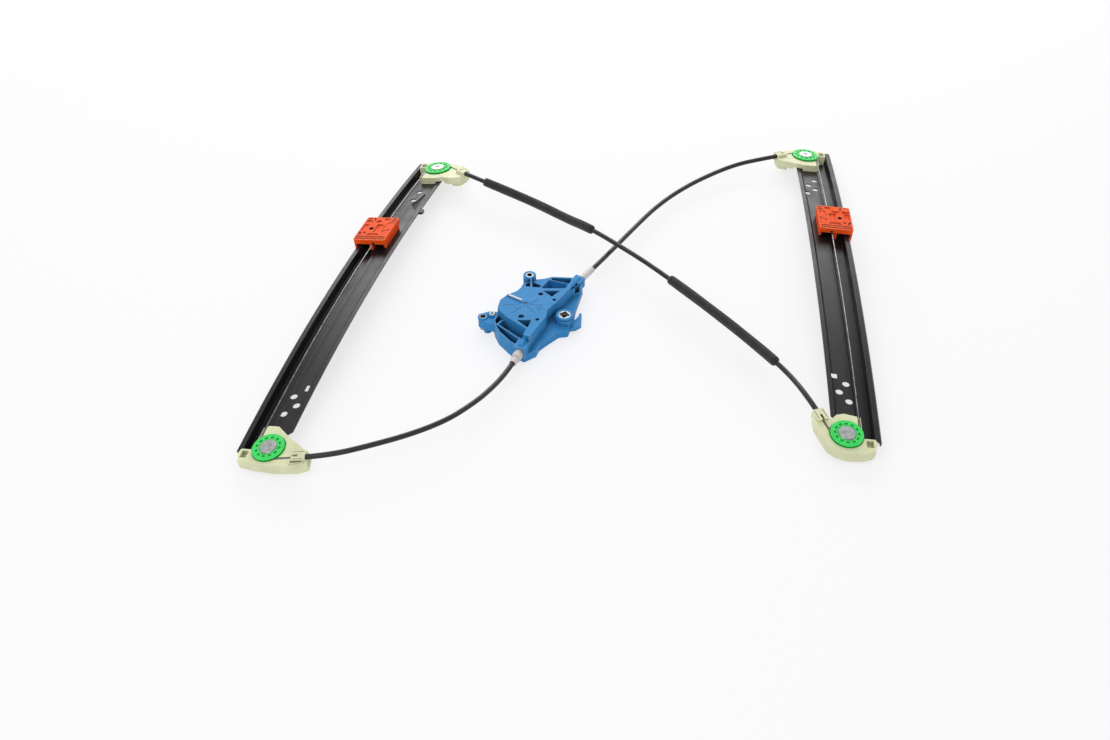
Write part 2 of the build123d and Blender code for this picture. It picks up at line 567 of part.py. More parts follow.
with BuildPart() as cable_drum:
    ring_about(0, 0, ((0, 8.8), (24.6, 8.8), (25.2, 9.4), (25.2, 10.8), (24.0, 11.6), (21.2, 11.8),
                      (21.2, 22.2), (24.0, 22.4), (25.2, 23.2), (25.2, 24.4), (24.8, 24.8), (6.0, 24.8),
                      (6.0, 27.4), (5.4, 28.0), (0, 28.0)))
    with BuildSketch(Plane.XY.offset(8.8)):
        with Locations((DX, DY)):
            RegularPolygon(5.2, 6)
    extrude(amount=12, mode=Mode.SUBTRACT)
    with BuildSketch(Plane.XY.offset(8.8)):
        with Locations((DX, DY)):
            with PolarLocations(14.5, 6):
                Circle(3.4)
    extrude(amount=10, mode=Mode.SUBTRACT)
cable_drum.part.label = "cable_drum"
export_step(cable_drum.part, "parts/cable_drum.step")

WINDINGS = [(21.3, 12.1)]   # (r, z) outline of five turns side by side on the drum
for turn in range(5):
    WINDINGS += [(DRUM_R + dr, 12.9 + 2 * turn + dz) for dr, dz in ((0, -0.8), (0.6, -0.4), (0.6, 0.4), (0, 0.8))]
WINDINGS += [(21.3, 21.7)]

with BuildPart() as drum_windings:
    ring_about(0, 0, WINDINGS)
drum_windings.part.label = "drum_windings"
export_step(drum_windings.part, "parts/drum_windings.step")

with BuildPart() as mount_bush_top:
    ring_about(3.8, 61, ((3.3, 1.0), (5.0, 1.0), (5.0, 26.0), (6.6, 26.0), (6.6, 27.4), (3.3, 27.4)))
mount_bush_top.part.label = "mount_bush_top"
export_step(mount_bush_top.part, "parts/mount_bush_top.step")

with BuildPart() as mount_bush_left:
    ring_about(-51.4, -11.5, ((3.3, 1.0), (4.0, 1.0), (4.0, 18.0), (5.2, 18.0), (5.2, 19.2), (3.3, 19.2)))
mount_bush_left.part.label = "mount_bush_left"
export_step(mount_bush_left.part, "parts/mount_bush_left.step")

with BuildPart() as mount_bush_right:
    ring_about(46.8, -10.7, ((3.3, 1.0), (9.0, 1.0), (9.0, 20.6), (8.4, 21.2), (3.3, 21.2)))
    with BuildSketch(Plane.XY.offset(18.6)):
        with Locations((DX + 46.8, DY - 10.7)):
            Rectangle(9.6, 9.6, rotation=33)
    extrude(amount=4, mode=Mode.SUBTRACT)
mount_bush_right.part.label = "mount_bush_right"
export_step(mount_bush_right.part, "parts/mount_bush_right.step")

with BuildPart() as housing_screw:
    ring_about(-40.4, -7.5, ((0, 12.4), (1.9, 12.4), (1.9, 18.0), (4.0, 18.0), (4.0, 20.0), (3.4, 20.8),
                             (0, 21.0)))
    with BuildSketch(Plane.XY.offset(19.8)):
        with Locations((DX - 40.4, DY - 7.5)):
            RegularPolygon(1.9, 6)
    extrude(amount=2, mode=Mode.SUBTRACT)
housing_screw.part.label = "housing_screw"
export_step(housing_screw.part, "parts/housing_screw.step")

# ---------------------------------------------------------------- ferrules at the drum


def ferrule(mouth, heading, z, profile, bore):
    """Turned tube along a seat: profile is (distance from the conduit's end, radius)."""
    a, b = mouth_point(mouth, heading, z, 0), mouth_point(mouth, heading, z, 1)
    way = (b - a).normalized()
    side = way.cross(Vector(0, 0, 1)).normalized()
    for (d0, r0), (d1, r1) in zip(profile[:-1], profile[1:]):
        if d1 > d0:
            with BuildSketch(Plane(a + way * d0, x_dir=side, z_dir=way)) as near:
                Circle(r0)
            with BuildSketch(Plane(a + way * d1, x_dir=side, z_dir=way)) as far:
                Circle(r1)
            loft([near.sketch, far.sketch])
    with BuildSketch(Plane(a, x_dir=side, z_dir=way)) as face:
        Circle(CONDUIT_R + 0.1)
    extrude(face.sketch, amount=bore, mode=Mode.SUBTRACT)
    with BuildSketch(Plane(a, x_dir=side, z_dir=way)) as face:
        Circle(1.6)
    extrude(face.sketch, amount=profile[-1][0] + 1, mode=Mode.SUBTRACT)


with BuildPart() as drum_ferrule_lower:
    ferrule(LOW_MOUTH, LOW_HEADING, LOW_Z, ((0, 4.2), (9, 4.6), (9, 5.4), (12.5, 5.9), (40, 5.9)), 9)
drum_ferrule_lower.part.label = "drum_ferrule_lower"
export_step(drum_ferrule_lower.part, "parts/drum_ferrule_lower.step")

with BuildPart() as drum_ferrule_upper:
    ferrule(UP_MOUTH, UP_HEADING, UP_Z, ((0, 3.9), (34, 4.4)), 9)
drum_ferrule_upper.part.label = "drum_ferrule_upper"
export_step(drum_ferrule_upper.part, "parts/drum_ferrule_upper.step")


def drum_strand(mouth, heading, z, d0, d1):
    seat(mouth, heading, z, d0, d1, WIRE_R, Mode.ADD)


LOW_RUN = hypot(*LOW_MOUTH) * cos(asin(DRUM_R / hypot(*LOW_MOUTH))) - 10
UP_RUN = hypot(*UP_MOUTH) * cos(asin(DRUM_R / hypot(*UP_MOUTH))) - 10

with BuildPart() as drum_strand_lower:
    drum_strand(LOW_MOUTH, LOW_HEADING, LOW_Z, 9.4, LOW_RUN)
drum_strand_lower.part.label = "drum_strand_lower"
export_step(drum_strand_lower.part, "parts/drum_strand_lower.step")

with BuildPart() as drum_strand_upper:
    drum_strand(UP_MOUTH, UP_HEADING, UP_Z, 9.4, UP_RUN)
drum_strand_upper.part.label = "drum_strand_upper"
export_step(drum_strand_upper.part, "parts/drum_strand_upper.step")

# ---------------------------------------------------------------- conduits and foam sleeves


def at(x, y, z):
    return Vector(x, y, z) + SHIFT


LOWER_WAY = [exit_ll.line(-7.9), exit_ll.line(24), at(-190, -307, 29), at(-150, -288, 27),
             at(-116.5, -265.5, 25), at(-94.5, -241, 22), at(-77, -216, 18),
             mouth_point(LOW_MOUTH, LOW_HEADING, LOW_Z, -20), mouth_point(LOW_MOUTH, LOW_HEADING, LOW_Z, 8.9)]
UPPER_WAY = [exit_ur.line(-7.9), exit_ur.line(22), at(256, 268, 18), at(203, 233.5, 15), at(166, 200, 13.5),
             at(136, 164, 13), at(112, 127, 13), at(82, 76, 15),
             mouth_point(UP_MOUTH, UP_HEADING, UP_Z, -18), mouth_point(UP_MOUTH, UP_HEADING, UP_Z, 8.9)]
CROSS_WAY = [exit_ul.line(-7.9), exit_ul.line(14), at(-76, 187, 28), at(-19, 160, 28), at(17, 129, 28),
             at(38, 104, 28), at(58.5, 81, 28), at(107.6, 26.7, 28), at(131, -2, 27.5), at(154, -30.5, 27),
             at(201.2, -92.5, 25), at(240, -147.5, 23), at(264, -186, 22), exit_lr.line(20), exit_lr.line(-7.9)]


def bends(way):
    """Fillet radius for each corner: 0.45 of the shorter run beside it over tan(half the turn)."""
    radii = []
    for a, b, c in zip(way[:-2], way[1:-1], way[2:]):
        half = radians((b - a).get_angle(c - b)) / 2
        radii.append(round(min(400.0, 0.45 * min((b - a).length, (c - b).length) / tan(half)), 1))
    return radii


def tube(way, r, bore=0.0):
    with BuildLine() as path:
        FilletPolyline(*way, radius=bends(way))
    with BuildSketch(Plane(path.line @ 0, z_dir=path.line % 0)) as face:
        Circle(r)
        if bore:
            Circle(bore, mode=Mode.SUBTRACT)
    sweep(face.sketch, path=path.line, transition=Transition.ROUND)


for node, way in (("conduit_lower", LOWER_WAY), ("conduit_upper", UPPER_WAY), ("conduit_cross", CROSS_WAY)):
    with BuildPart() as conduit:
        tube(way, CONDUIT_R)
    conduit.part.label = node
    export_step(conduit.part, f"parts/{node}.step")
    print(node, "bend radii in mm:", bends(way), "runs in mm:", [round((b - a).length) for a, b in zip(way, way[1:])])


def halfway(way, k):
    return (way[k] + way[k + 1]) * 0.5


# each sleeve takes the conduit's own corners, and starts and ends half way along a straight run
for node, k0, k1 in (("foam_sleeve_upper", 1, 5), ("foam_sleeve_lower", 8, 11)):
    with BuildPart() as foam_sleeve:
        corners = [halfway(CROSS_WAY, k0)] + CROSS_WAY[k0 + 1:k1 + 1] + [halfway(CROSS_WAY, k1)]
        with BuildLine() as path:
            FilletPolyline(*corners, radius=bends(CROSS_WAY)[k0:k1])
        with BuildSketch(Plane(path.line @ 0, z_dir=path.line % 0)):
            Circle(SLEEVE_R)
            Circle(CONDUIT_R + 0.05, mode=Mode.SUBTRACT)
        sweep(path=path.line, transition=Transition.ROUND)
    foam_sleeve.part.label = node
    export_step(foam_sleeve.part, f"parts/{node}.step")
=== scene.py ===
"""Twin-rail cable window regulator: its finishes, the ribbed housing and glass carriers, the pulleys, the
stranded wires, the sheathed conduits and the foam sleeves."""
from math import cos, pi, radians, sin

import bmesh
import bpy
import numpy as np
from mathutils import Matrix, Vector


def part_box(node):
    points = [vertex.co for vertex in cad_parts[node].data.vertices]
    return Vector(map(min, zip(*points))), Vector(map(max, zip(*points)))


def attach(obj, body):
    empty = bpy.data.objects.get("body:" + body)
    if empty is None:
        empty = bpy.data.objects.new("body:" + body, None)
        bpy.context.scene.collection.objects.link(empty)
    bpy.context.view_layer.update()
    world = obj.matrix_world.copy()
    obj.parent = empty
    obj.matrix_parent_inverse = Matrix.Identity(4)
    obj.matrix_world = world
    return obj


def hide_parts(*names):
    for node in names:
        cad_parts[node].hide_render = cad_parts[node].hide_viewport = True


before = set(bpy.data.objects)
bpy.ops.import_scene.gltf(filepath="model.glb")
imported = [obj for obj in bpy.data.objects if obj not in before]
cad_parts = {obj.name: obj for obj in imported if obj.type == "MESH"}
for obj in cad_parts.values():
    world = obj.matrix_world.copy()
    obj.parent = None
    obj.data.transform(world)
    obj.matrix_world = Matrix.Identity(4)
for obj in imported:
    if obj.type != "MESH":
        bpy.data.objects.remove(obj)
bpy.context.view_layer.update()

bl_info = {
    "name": "Cable window regulator",
    "version": (1, 0, 0),
    "blender": (4, 5, 0),
    "location": "3D View > Sidebar > Regulator",
    "description": "Dresses a twin-rail cable window regulator with its finishes, wires and conduits",
    "category": "Object",
}

MM = 0.001
MERGED = 0.0005 * MM        # points closer than this are one point
BEND_R = 2500.0 * MM        # radius that both rails follow
PULLEY_SPAN = 572.0 * MM    # arc length between the two pulley axes of a rail
GROOVE_R = 15.0 * MM        # wire centre line on a pulley
WIRE_V = 9.0 * MM           # height of the wire over a rail's sheet
CARRIER_S = 103.0 * MM      # where the carriers stand at rest
SHIFT = np.array([-30.42, 10.89, 1.0]) * MM     # from the layout's own origin to the frame's
CAMERA_AT = (-0.03042, -1.16141, 0.89400)
CAMERA_DOWN = 41.29         # degrees below the horizon
CAMERA_LENS = 37.72
CAMERA_SENSOR = 36.0
FLOOR_HALF = 8.0            # metres


def linear(code):
    """sRGB hex colour as linear RGBA."""
    srgb = np.array([int(code[k:k + 2], 16) / 255 for k in (1, 3, 5)])
    low, high = srgb / 12.92, ((srgb + 0.055) / 1.055) ** 2.4
    return (*np.where(srgb <= 0.04045, low, high), 1.0)


# ---- properties


def size(name, text, value):
    return bpy.props.FloatProperty(name=name, description=text, default=value, min=0.0, max=0.1,
                                   subtype="DISTANCE", unit="LENGTH", precision=5)


def colour(name, text, code):
    return bpy.props.FloatVectorProperty(name=name, description=text, default=linear(code), size=4,
                                         min=0.0, max=1.0, subtype="COLOR")


class RegulatorSizes(bpy.types.PropertyGroup):
    wire_radius: size("Wire radius", "Radius of the steel wire rope over its strands", 0.75 * MM)
    wire_lay: size("Wire lay", "Length in which one strand goes once round the rope", 11 * MM)
    conduit_radius: size("Conduit radius", "Outside radius of the conduit's sheath", 3.0 * MM)
    sleeve_radius: size("Sleeve radius", "Outside radius of the foam sleeve over its ridges", 6.0 * MM)
    sleeve_ridge: size("Sleeve ridge", "Height of the ridges that run along the sleeve", 0.55 * MM)


class RegulatorColours(bpy.types.PropertyGroup):
    rail: colour("Rail coat", "Electro-deposited black coat of the rails", "#151417")
    bracket: colour("Bracket", "Natural acetal of the four end brackets", "#E0E2BA")
    pulley: colour("Pulley", "Green acetal of the guide pulleys", "#36E866")
    carrier: colour("Carrier", "Orange-red polyester of the glass carriers", "#FB5414")
    housing: colour("Housing", "Blue polyester of the drum housing", "#3589C5")
    drum: colour("Drum", "White acetal of the cable drum", "#E6E5DF")
    ferrule: colour("Ferrule", "Natural nylon of the two ferrules at the drum", "#D2CCC6")
    zinc: colour("Zinc", "Zinc plating of pins, bushes, screw and wire", "#BFC3C1")
    sheath: colour("Sheath", "Black nylon sheath of the conduits", "#1B1A1C")
    foam: colour("Foam", "Black foam of the two sleeves", "#111013")


def sizes():
    return bpy.context.scene.regulator_sizes


def colours():
    return bpy.context.scene.regulator_colours


# ---- material tools


def add(tree, kind, settings=None, links=None):
    """Adds one node, sets its sockets or properties, and links sockets into it."""
    made = tree.nodes.new(kind)
    for key, value in (settings or {}).items():
        if isinstance(key, int) or key in made.inputs:
            made.inputs[key].default_value = value
        else:
            setattr(made, key, value)
    for key, socket in (links or {}).items():
        tree.links.new(socket, made.inputs[key])
    return made


def start(name, **sockets):
    """A material with a Principled shader whose own sockets take the given constants."""
    made = bpy.data.materials.new(name)
    made.use_nodes = True
    tree = made.node_tree
    tree.nodes.clear()
    shader = add(tree, "ShaderNodeBsdfPrincipled", {k.replace("_", " "): v for k, v in sockets.items()})
    add(tree, "ShaderNodeOutputMaterial", links={"Surface": shader.outputs[0]})
    return made, tree, shader


def own_place(tree, **settings):
    """The piece's own place in the frame, moved or stretched by the settings."""
    where = add(tree, "ShaderNodeTexCoord").outputs["Object"]
    return add(tree, "ShaderNodeMapping", {"vector_type": "TEXTURE", **settings}, {0: where}).outputs[0]


def spots(tree, mm, detail=3.0, rough=0.5, stretch=(1, 1, 1)):
    """Noise whose spots are about mm wide."""
    return add(tree, "ShaderNodeTexNoise", {"Scale": 1 / (mm * MM), "Detail": detail, "Roughness": rough},
               {"Vector": own_place(tree, Scale=stretch)}).outputs[0]


def between(tree, value, a, b):
    """Takes a noise value to the range a to b."""
    return add(tree, "ShaderNodeMapRange", {"From Min": 0.3, "From Max": 0.7, "To Min": a, "To Max": b},
               {"Value": value}).outputs[0]


def blend(tree, factor, a, b):
    """Mixes two colours by a factor; a and b are sockets or linear colours."""
    made = add(tree, "ShaderNodeMix", {"data_type": "RGBA", "clamp_factor": True}, {0: factor})
    for slot, value in ((6, a), (7, b)):
        if hasattr(value, "is_linked"):
            tree.links.new(value, made.inputs[slot])
        else:
            made.inputs[slot].default_value = value
    return made.outputs[2]


def shade(c, k):
    """Colour made k times as bright, kept in range."""
    return (*(min(1.0, x * k) for x in c[:3]), 1.0)


# the edge mask lightens edges in the finishes: partly wear, partly a painted highlight
def edge_wear_and_highlight(tree, radius_mm):
    """How sharp the edge is nearby: 0 on flats, towards 1 on corners, and the softened normal."""
    soft = add(tree, "ShaderNodeBevel", {"samples": 4, "Radius": radius_mm * MM}).outputs[0]
    true = add(tree, "ShaderNodeNewGeometry").outputs["Normal"]
    dot = add(tree, "ShaderNodeVectorMath", {"operation": "DOT_PRODUCT"}, {0: soft, 1: true}).outputs["Value"]
    edge = add(tree, "ShaderNodeMapRange", {"From Min": 0.99, "From Max": 0.8}, {"Value": dot}).outputs[0]
    return edge, soft


def open_sky(tree, reach_mm):
    """How open a place is within reach of the piece's own walls: 1 on a free face, towards 0 in a pocket."""
    return add(tree, "ShaderNodeAmbientOcclusion", {"samples": 6, "only_local": True, "Distance": reach_mm * MM}
               ).outputs["AO"]


def relief(tree, height, mm, **normal):
    """Bump whose height map spans mm of real relief, over a Normal where one is given."""
    return add(tree, "ShaderNodeBump", {"Distance": mm * MM}, {"Height": height, **normal}).outputs[0]


def plug(tree, shader, **sockets):
    for key, socket in sockets.items():
        tree.links.new(socket, shader.inputs[key.replace("_", " ")])


# ---- materials


def e_coated_steel():
    """Deep-drawn steel sheet, electro-coated black: a thin even film that mirrors softly, with a fine
    orange peel, dust of two sizes and a greyer line over bends and cut edges, partly where the film thins and
    partly a painted highlight.  Down the guide channel the reflection is darkened, a painted shade."""
    made, tree, shader = start("E-coated steel", Metallic=0.0, IOR=1.52, Specular_IOR_Level=0.42)
    coat = colours().rail
    edge, soft = edge_wear_and_highlight(tree, 0.7)
    cloud = spots(tree, 70, 4)
    film = blend(tree, between(tree, cloud, 0, 1), shade(coat, 0.82), shade(coat, 1.2))
    speck = add(tree, "ShaderNodeMapRange", {"From Min": 0.66, "From Max": 0.74},
                {"Value": spots(tree, 1.6, 2)}).outputs[0]
    dusty = blend(tree, add(tree, "ShaderNodeMath", {"operation": "MULTIPLY", 1: 0.25}, {0: speck}).outputs[0],
                  film, linear("#5A585E"))
    # greyer line on bends and cut edges: partly a thinner film, partly a painted highlight
    thin = add(tree, "ShaderNodeMath", {"operation": "MULTIPLY", 1: 0.5}, {0: edge}).outputs[0]
    # painted shade: the reflection is darkened where the rail's own walls close round a place
    painted_shade = add(tree, "ShaderNodeMapRange", {"From Min": 0.93, "From Max": 0.55},
                  {"Value": open_sky(tree, 26)}).outputs[0]
    plug(tree, shader, Base_Color=blend(tree, thin, dusty, linear("#7C7B82")),
         Specular_Tint=blend(tree, painted_shade, (1, 1, 1, 1), (0.16, 0.16, 0.16, 1)),
         Roughness=between(tree, spots(tree, 28, 3), 0.27, 0.4),
         Normal=relief(tree, spots(tree, 1.1, 2), 0.02, Normal=soft))
    return made


def moulded(name, base, rough, soften, glow, grain_mm, relief_mm, deep=(9, 0.5), rubbed_and_highlit=0.3, gloss=0.36,
            pale="#FFFFFF", open_from=0.75):
    """Injection-moulded plastic: even through colour with slight flow clouds, a spark-eroded grain and
    edges rounded by the mould, which go towards the pale colour, partly as wear and partly as a painted
    highlight.  Down its pockets the colour is darkened as a painted shade: deep is the pockets' reach in mm
    and what they keep of the brightness, and open_from is how open a place has to be to stay unshaded.
    soften is the edges' radius in mm, glow the light that goes in, and rubbed how far the edges have gone pale."""
    made, tree, shader = start(name, IOR=1.48, Subsurface_Weight=glow, Subsurface_Radius=(1.0, 0.9, 0.6),
                               Subsurface_Scale=2.0 * MM, Specular_IOR_Level=gloss)
    edge, soft = edge_wear_and_highlight(tree, soften)
    flow = between(tree, spots(tree, 22, 4, 0.6, (1, 2.4, 1)), 0, 1)
    body = blend(tree, flow, shade(base, 0.9), shade(base, 1.07))
    # painted shade: the colour is darkened in the piece's own pockets and corners
    painted_shade = add(tree, "ShaderNodeMapRange", {"From Min": open_from, "From Max": 0.2},
                  {"Value": open_sky(tree, deep[0])}).outputs[0]
    body = blend(tree, painted_shade, body, shade(base, deep[1]))
    # edges go towards the pale colour: partly wear, partly a painted highlight
    rub_and_highlight = add(tree, "ShaderNodeMath", {"operation": "MULTIPLY", 1: rubbed_and_highlit}, {0: edge}).outputs[0]
    pale_wear_and_highlight = (*(x + (p - x) * 0.45 for x, p in zip(base[:3], linear(pale))), 1.0)
    plug(tree, shader, Base_Color=blend(tree, rub_and_highlight, body, pale_wear_and_highlight),
         Roughness=between(tree, spots(tree, 9, 3), rough - 0.06, rough + 0.08),
         Normal=relief(tree, spots(tree, grain_mm, 2), relief_mm, Normal=soft))
    return made


def natural_acetal():
    """Unpigmented acetal: milky, lets some light through, faintly yellow, silky from the tool."""
    # deep darkens the pockets: painted shade
    return moulded("Natural acetal", colours().bracket, rough=0.36, soften=0.5, glow=0.3, grain_mm=0.8,
                   relief_mm=0.012, deep=(8, 0.6), rubbed_and_highlit=0.2)


def green_acetal():
    """Pigmented acetal, slippery: a bright self colour, with painted shade darkening its pockets."""
    return moulded("Green acetal", colours().pulley, rough=0.3, soften=0.35, glow=0.12, grain_mm=0.8,
                   relief_mm=0.008, deep=(2.5, 0.15), rubbed_and_highlit=0.6, open_from=0.95)


def white_acetal():
    """White acetal of the wound drum: smooth, greasy sheen."""
    return moulded("White acetal", colours().drum, rough=0.3, soften=0.4, glow=0.15, grain_mm=0.8,
                   relief_mm=0.008)


def glass_filled_polyester():
    """Glass-filled polyester, orange-red: satin, with the fibres' fine mottle, pale rib edges that are a
    painted highlight, and painted shade in its pockets.
    """
    return moulded("Glass-filled polyester", colours().carrier, rough=0.42, soften=0.85, glow=0.06,
                   # rubbed and pale give the rib edges a painted highlight; deep gives painted shade in the
                   # pockets
                   grain_mm=0.7, relief_mm=0.03, deep=(4, 0.3), rubbed_and_highlit=1.0, gloss=0.1, pale="#FFF8D0",
                   open_from=0.98)


def filled_polyester_blue():
    """Glass-filled polyester, blue: satin, a little chalky and paler along its edges, partly as wear and partly
    as a painted highlight, and darkened in its pockets as a painted shade.
    """
    return moulded("Blue polyester", colours().housing, rough=0.44, soften=0.6, glow=0.04, grain_mm=0.7,
                   # deep=(12, 0.16) darkens the pockets strongly: painted shade
                   relief_mm=0.03, deep=(12, 0.16), rubbed_and_highlit=0.6, gloss=0.15)


def highlight_painted_polyester():
    """The same polyester on the cover's bead, made pale as a painted highlight, and polished by handling."""
    base = colours().housing
    # painted highlight: the bead's colour is taken most of the way to a pale grey
    pale = (*(x + (0.8 - x) * 0.8 for x in base[:3]), 1.0)
    return moulded("Polyester with painted highlight", pale, rough=0.25, soften=0.3, glow=0.1, grain_mm=0.7,
                   relief_mm=0.01, deep=(3, 0.7), gloss=0.6)


def natural_nylon():
    """Unpigmented nylon of the ferrules: greyish white and slightly glassy."""
    return moulded("Natural nylon", colours().ferrule, rough=0.33, soften=0.35, glow=0.25, grain_mm=0.8,
                   relief_mm=0.01)


TOOL_FEED = 0.45 * MM       # between the rings on turned faces, drawn this coarse so that they show


def zinc_plated_steel(name, centre=None, bright=1.0):
    """Turned steel, zinc plated: grey metal with cloudy passivation, and on turned faces the rings of the
    tool's feed round a centre.  bright is 1 for new plating and less where it has gone dull."""
    made, tree, shader = start(name, Metallic=1.0)
    zinc = colours().zinc
    cloud = between(tree, spots(tree, 4, 4), 0, 1)
    plug(tree, shader, Base_Color=blend(tree, cloud, shade(zinc, 0.78 * bright), shade(zinc, 1.08 * bright)),
         Roughness=between(tree, spots(tree, 2.2, 3), 0.24, 0.44))
    soft = edge_wear_and_highlight(tree, 0.25)[1]
    if centre is None:
        height = spots(tree, 0.6, 2)
    else:
        height = add(tree, "ShaderNodeTexWave", {"wave_type": "RINGS", "rings_direction": "Z",
                                                 "Scale": 0.314 / TOOL_FEED},
                     {"Vector": own_place(tree, Location=centre)}).outputs["Fac"]
    plug(tree, shader, Normal=relief(tree, height, 0.01, Normal=soft))
    return made


def die_cast_zinc():
    """Zinc cast onto the wire ends: dull grey, grainy, with no plating."""
    made, tree, shader = start("Die-cast zinc", Metallic=1.0)
    cast = linear("#9C9C9E")
    grey = blend(tree, between(tree, spots(tree, 1.5, 3), 0, 1), shade(cast, 0.75), cast)
    plug(tree, shader, Base_Color=grey,
         Roughness=between(tree, spots(tree, 1.0, 2), 0.42, 0.6),
         Normal=relief(tree, spots(tree, 0.5, 2), 0.03))
    return made


def galvanised_rope():
    """Galvanised wire rope, greased: dull grey strands, darker in patches."""
    made, tree, shader = start("Galvanised wire rope", Metallic=1.0)
    zinc = colours().zinc
    plug(tree, shader, Base_Color=blend(tree, between(tree, spots(tree, 6, 3), 0, 1), shade(zinc, 0.34),
                                        shade(zinc, 0.66)),
         Roughness=between(tree, spots(tree, 3, 2), 0.22, 0.4))
    return made


def extruded_nylon():
    """Black nylon sheath extruded over the conduit's coil: smooth satin with faint scuffs.  The clamp inserts
    are of the same nylon."""
    made, tree, shader = start("Extruded nylon sheath", IOR=1.5)
    sheath = colours().sheath
    scuff = add(tree, "ShaderNodeMapRange", {"From Min": 0.58, "From Max": 0.7},
                {"Value": spots(tree, 5, 4)}).outputs[0]
    faint = add(tree, "ShaderNodeMath", {"operation": "MULTIPLY", 1: 0.3}, {0: scuff}).outputs[0]
    plug(tree, shader, Base_Color=blend(tree, faint, sheath, linear("#4A494C")),
         Roughness=between(tree, spots(tree, 12, 3), 0.3, 0.45),
         Normal=relief(tree, spots(tree, 1.2, 2), 0.02))
    return made


def ribbed_foam():
    """Extruded polyurethane foam: matt black with open cells about 0.6 mm wide."""
    made, tree, shader = start("Ribbed foam", IOR=1.4, Sheen_Weight=0.25, Sheen_Roughness=0.6)
    foam = colours().foam
    cells = spots(tree, 0.6, 2)
    plug(tree, shader, Base_Color=blend(tree, between(tree, spots(tree, 14, 3), 0, 1), foam, linear("#232226")),
         Roughness=between(tree, spots(tree, 4, 2), 0.75, 0.95),
         Normal=relief(tree, cells, 0.18))
    return made


def dress(material, *names):
    """Puts one finish on CAD nodes that keep their shape."""
    for name in names:
        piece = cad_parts[name]
        piece.data.materials.clear()
        piece.data.materials.append(material)


# ---- shape tools


class Rail:
    """Places along a rail in metres: s along its arc, u towards the other rail, v above the sheet."""

    def __init__(self, origin, turn, roll, side):
        az, rl = radians(turn), radians(roll)
        self.o, self.side = np.array(origin) * MM + SHIFT, side
        self.ex = np.array([cos(rl) * cos(az), cos(rl) * sin(az), -sin(rl)])
        self.ey = np.array([-sin(az), cos(az), 0.0])
        self.ez = np.array([sin(rl) * cos(az), sin(rl) * sin(az), cos(rl)])
        self.drop = BEND_R * cos(PULLEY_SPAN / 2 / BEND_R)

    def point(self, s, u=0.0, v=0.0):
        """Point at (s, u, v): v goes out from an axis BEND_R under the sheet, turned by s / BEND_R."""
        a = np.asarray(s)[..., None] / BEND_R
        u, v = np.asarray(u)[..., None], np.asarray(v)[..., None]
        return (self.o + self.ex * self.side * u + self.ey * (BEND_R + v) * np.sin(a)
                + self.ez * ((BEND_R + v) * np.cos(a) - self.drop))

    def beside(self, s, u, t, v=WIRE_V):
        """Point at (u, t) in the tangent plane at s."""
        way = self.ey * cos(s / BEND_R) - self.ez * sin(s / BEND_R)
        return self.point(s, u, v) + way * np.asarray(t)[..., None]


class Exit:
    """Where a conduit seats in an end bracket; end is (u, t) in the pulley's own plane."""

    def __init__(self, rail, s, end, turn):
        self.rail, self.s, self.turn = rail, s, turn
        self.end = np.array(end) * MM
        gap = self.end - (GROOVE_R, 0)
        self.heading = np.arctan2(gap[1], gap[0]) + turn * np.arcsin(GROOVE_R / np.hypot(*gap))

    def line(self, mm):
        """Point on the conduit's axis, mm beyond the bracket's end face."""
        u, t = self.end + mm * MM * np.array([cos(self.heading), sin(self.heading)])
        return self.rail.beside(self.s, u, t)

    def wrap(self, count=40):
        """Arc of the wire round the pulley, from the rail's side to the conduit's."""
        angle = np.linspace(-self.turn * pi, self.heading - self.turn * pi / 2, count)
        return self.rail.beside(self.s, GROOVE_R * (1 + np.cos(angle)), GROOVE_R * np.sin(angle))


LEFT = Rail((-247.1, -23.2, 10.0), -13.78, -7.5, 1)
RIGHT = Rail((350.3, 1.2, 10.0), -4.79, 3.5, -1)
S_UP, S_LOW = PULLEY_SPAN / 2, -PULLEY_SPAN / 2
EXIT_LL = Exit(LEFT, S_LOW, (61.0, -7.0), 1)
EXIT_UL = Exit(LEFT, S_UP, (62.0, -15.0), -1)
EXIT_UR = Exit(RIGHT, S_UP, (58.0, -10.0), -1)
EXIT_LR = Exit(RIGHT, S_LOW, (45.0, 29.6), 1)


# mm beyond a bracket's end face where a conduit starts and the bare wire ends
CONDUIT_FROM, WIRE_TO = -7.9, -8.6


def at(x, y, z):
    """Place in the frame of a point that is given in mm from the layout's own origin."""
    return np.array([x, y, z]) * MM + SHIFT


DRUM_AT = at(-35.4, -66.8, 0)[:2]


def mouth_point(mouth, heading, z, d):
    """Point d along a conduit seat of the housing; the mouth is measured from the drum's axis."""
    x, y = DRUM_AT + (np.array(mouth) + d * np.array([cos(radians(heading)), sin(radians(heading))])) * MM
    return np.array([x, y, z * MM])


LOW_SEAT, UP_SEAT = ((-13.6, -93.2), 68.2), ((82.3, 83.7), 236.3)       # mouth in mm and heading
LOW_Z, UP_Z = 15.0, 19.0    # height of each conduit's axis in its seat
LOWER_WAY = [EXIT_LL.line(CONDUIT_FROM), EXIT_LL.line(24), at(-190, -307, 29), at(-150, -288, 27),
             at(-116.5, -265.5, 25), at(-94.5, -241, 22), at(-77, -216, 18),
             mouth_point(*LOW_SEAT, LOW_Z, -20), mouth_point(*LOW_SEAT, LOW_Z, 8.9)]
UPPER_WAY = [EXIT_UR.line(CONDUIT_FROM), EXIT_UR.line(22), at(256, 268, 18), at(203, 233.5, 15),
             at(166, 200, 13.5), at(136, 164, 13), at(112, 127, 13), at(82, 76, 15),
             mouth_point(*UP_SEAT, UP_Z, -18), mouth_point(*UP_SEAT, UP_Z, 8.9)]
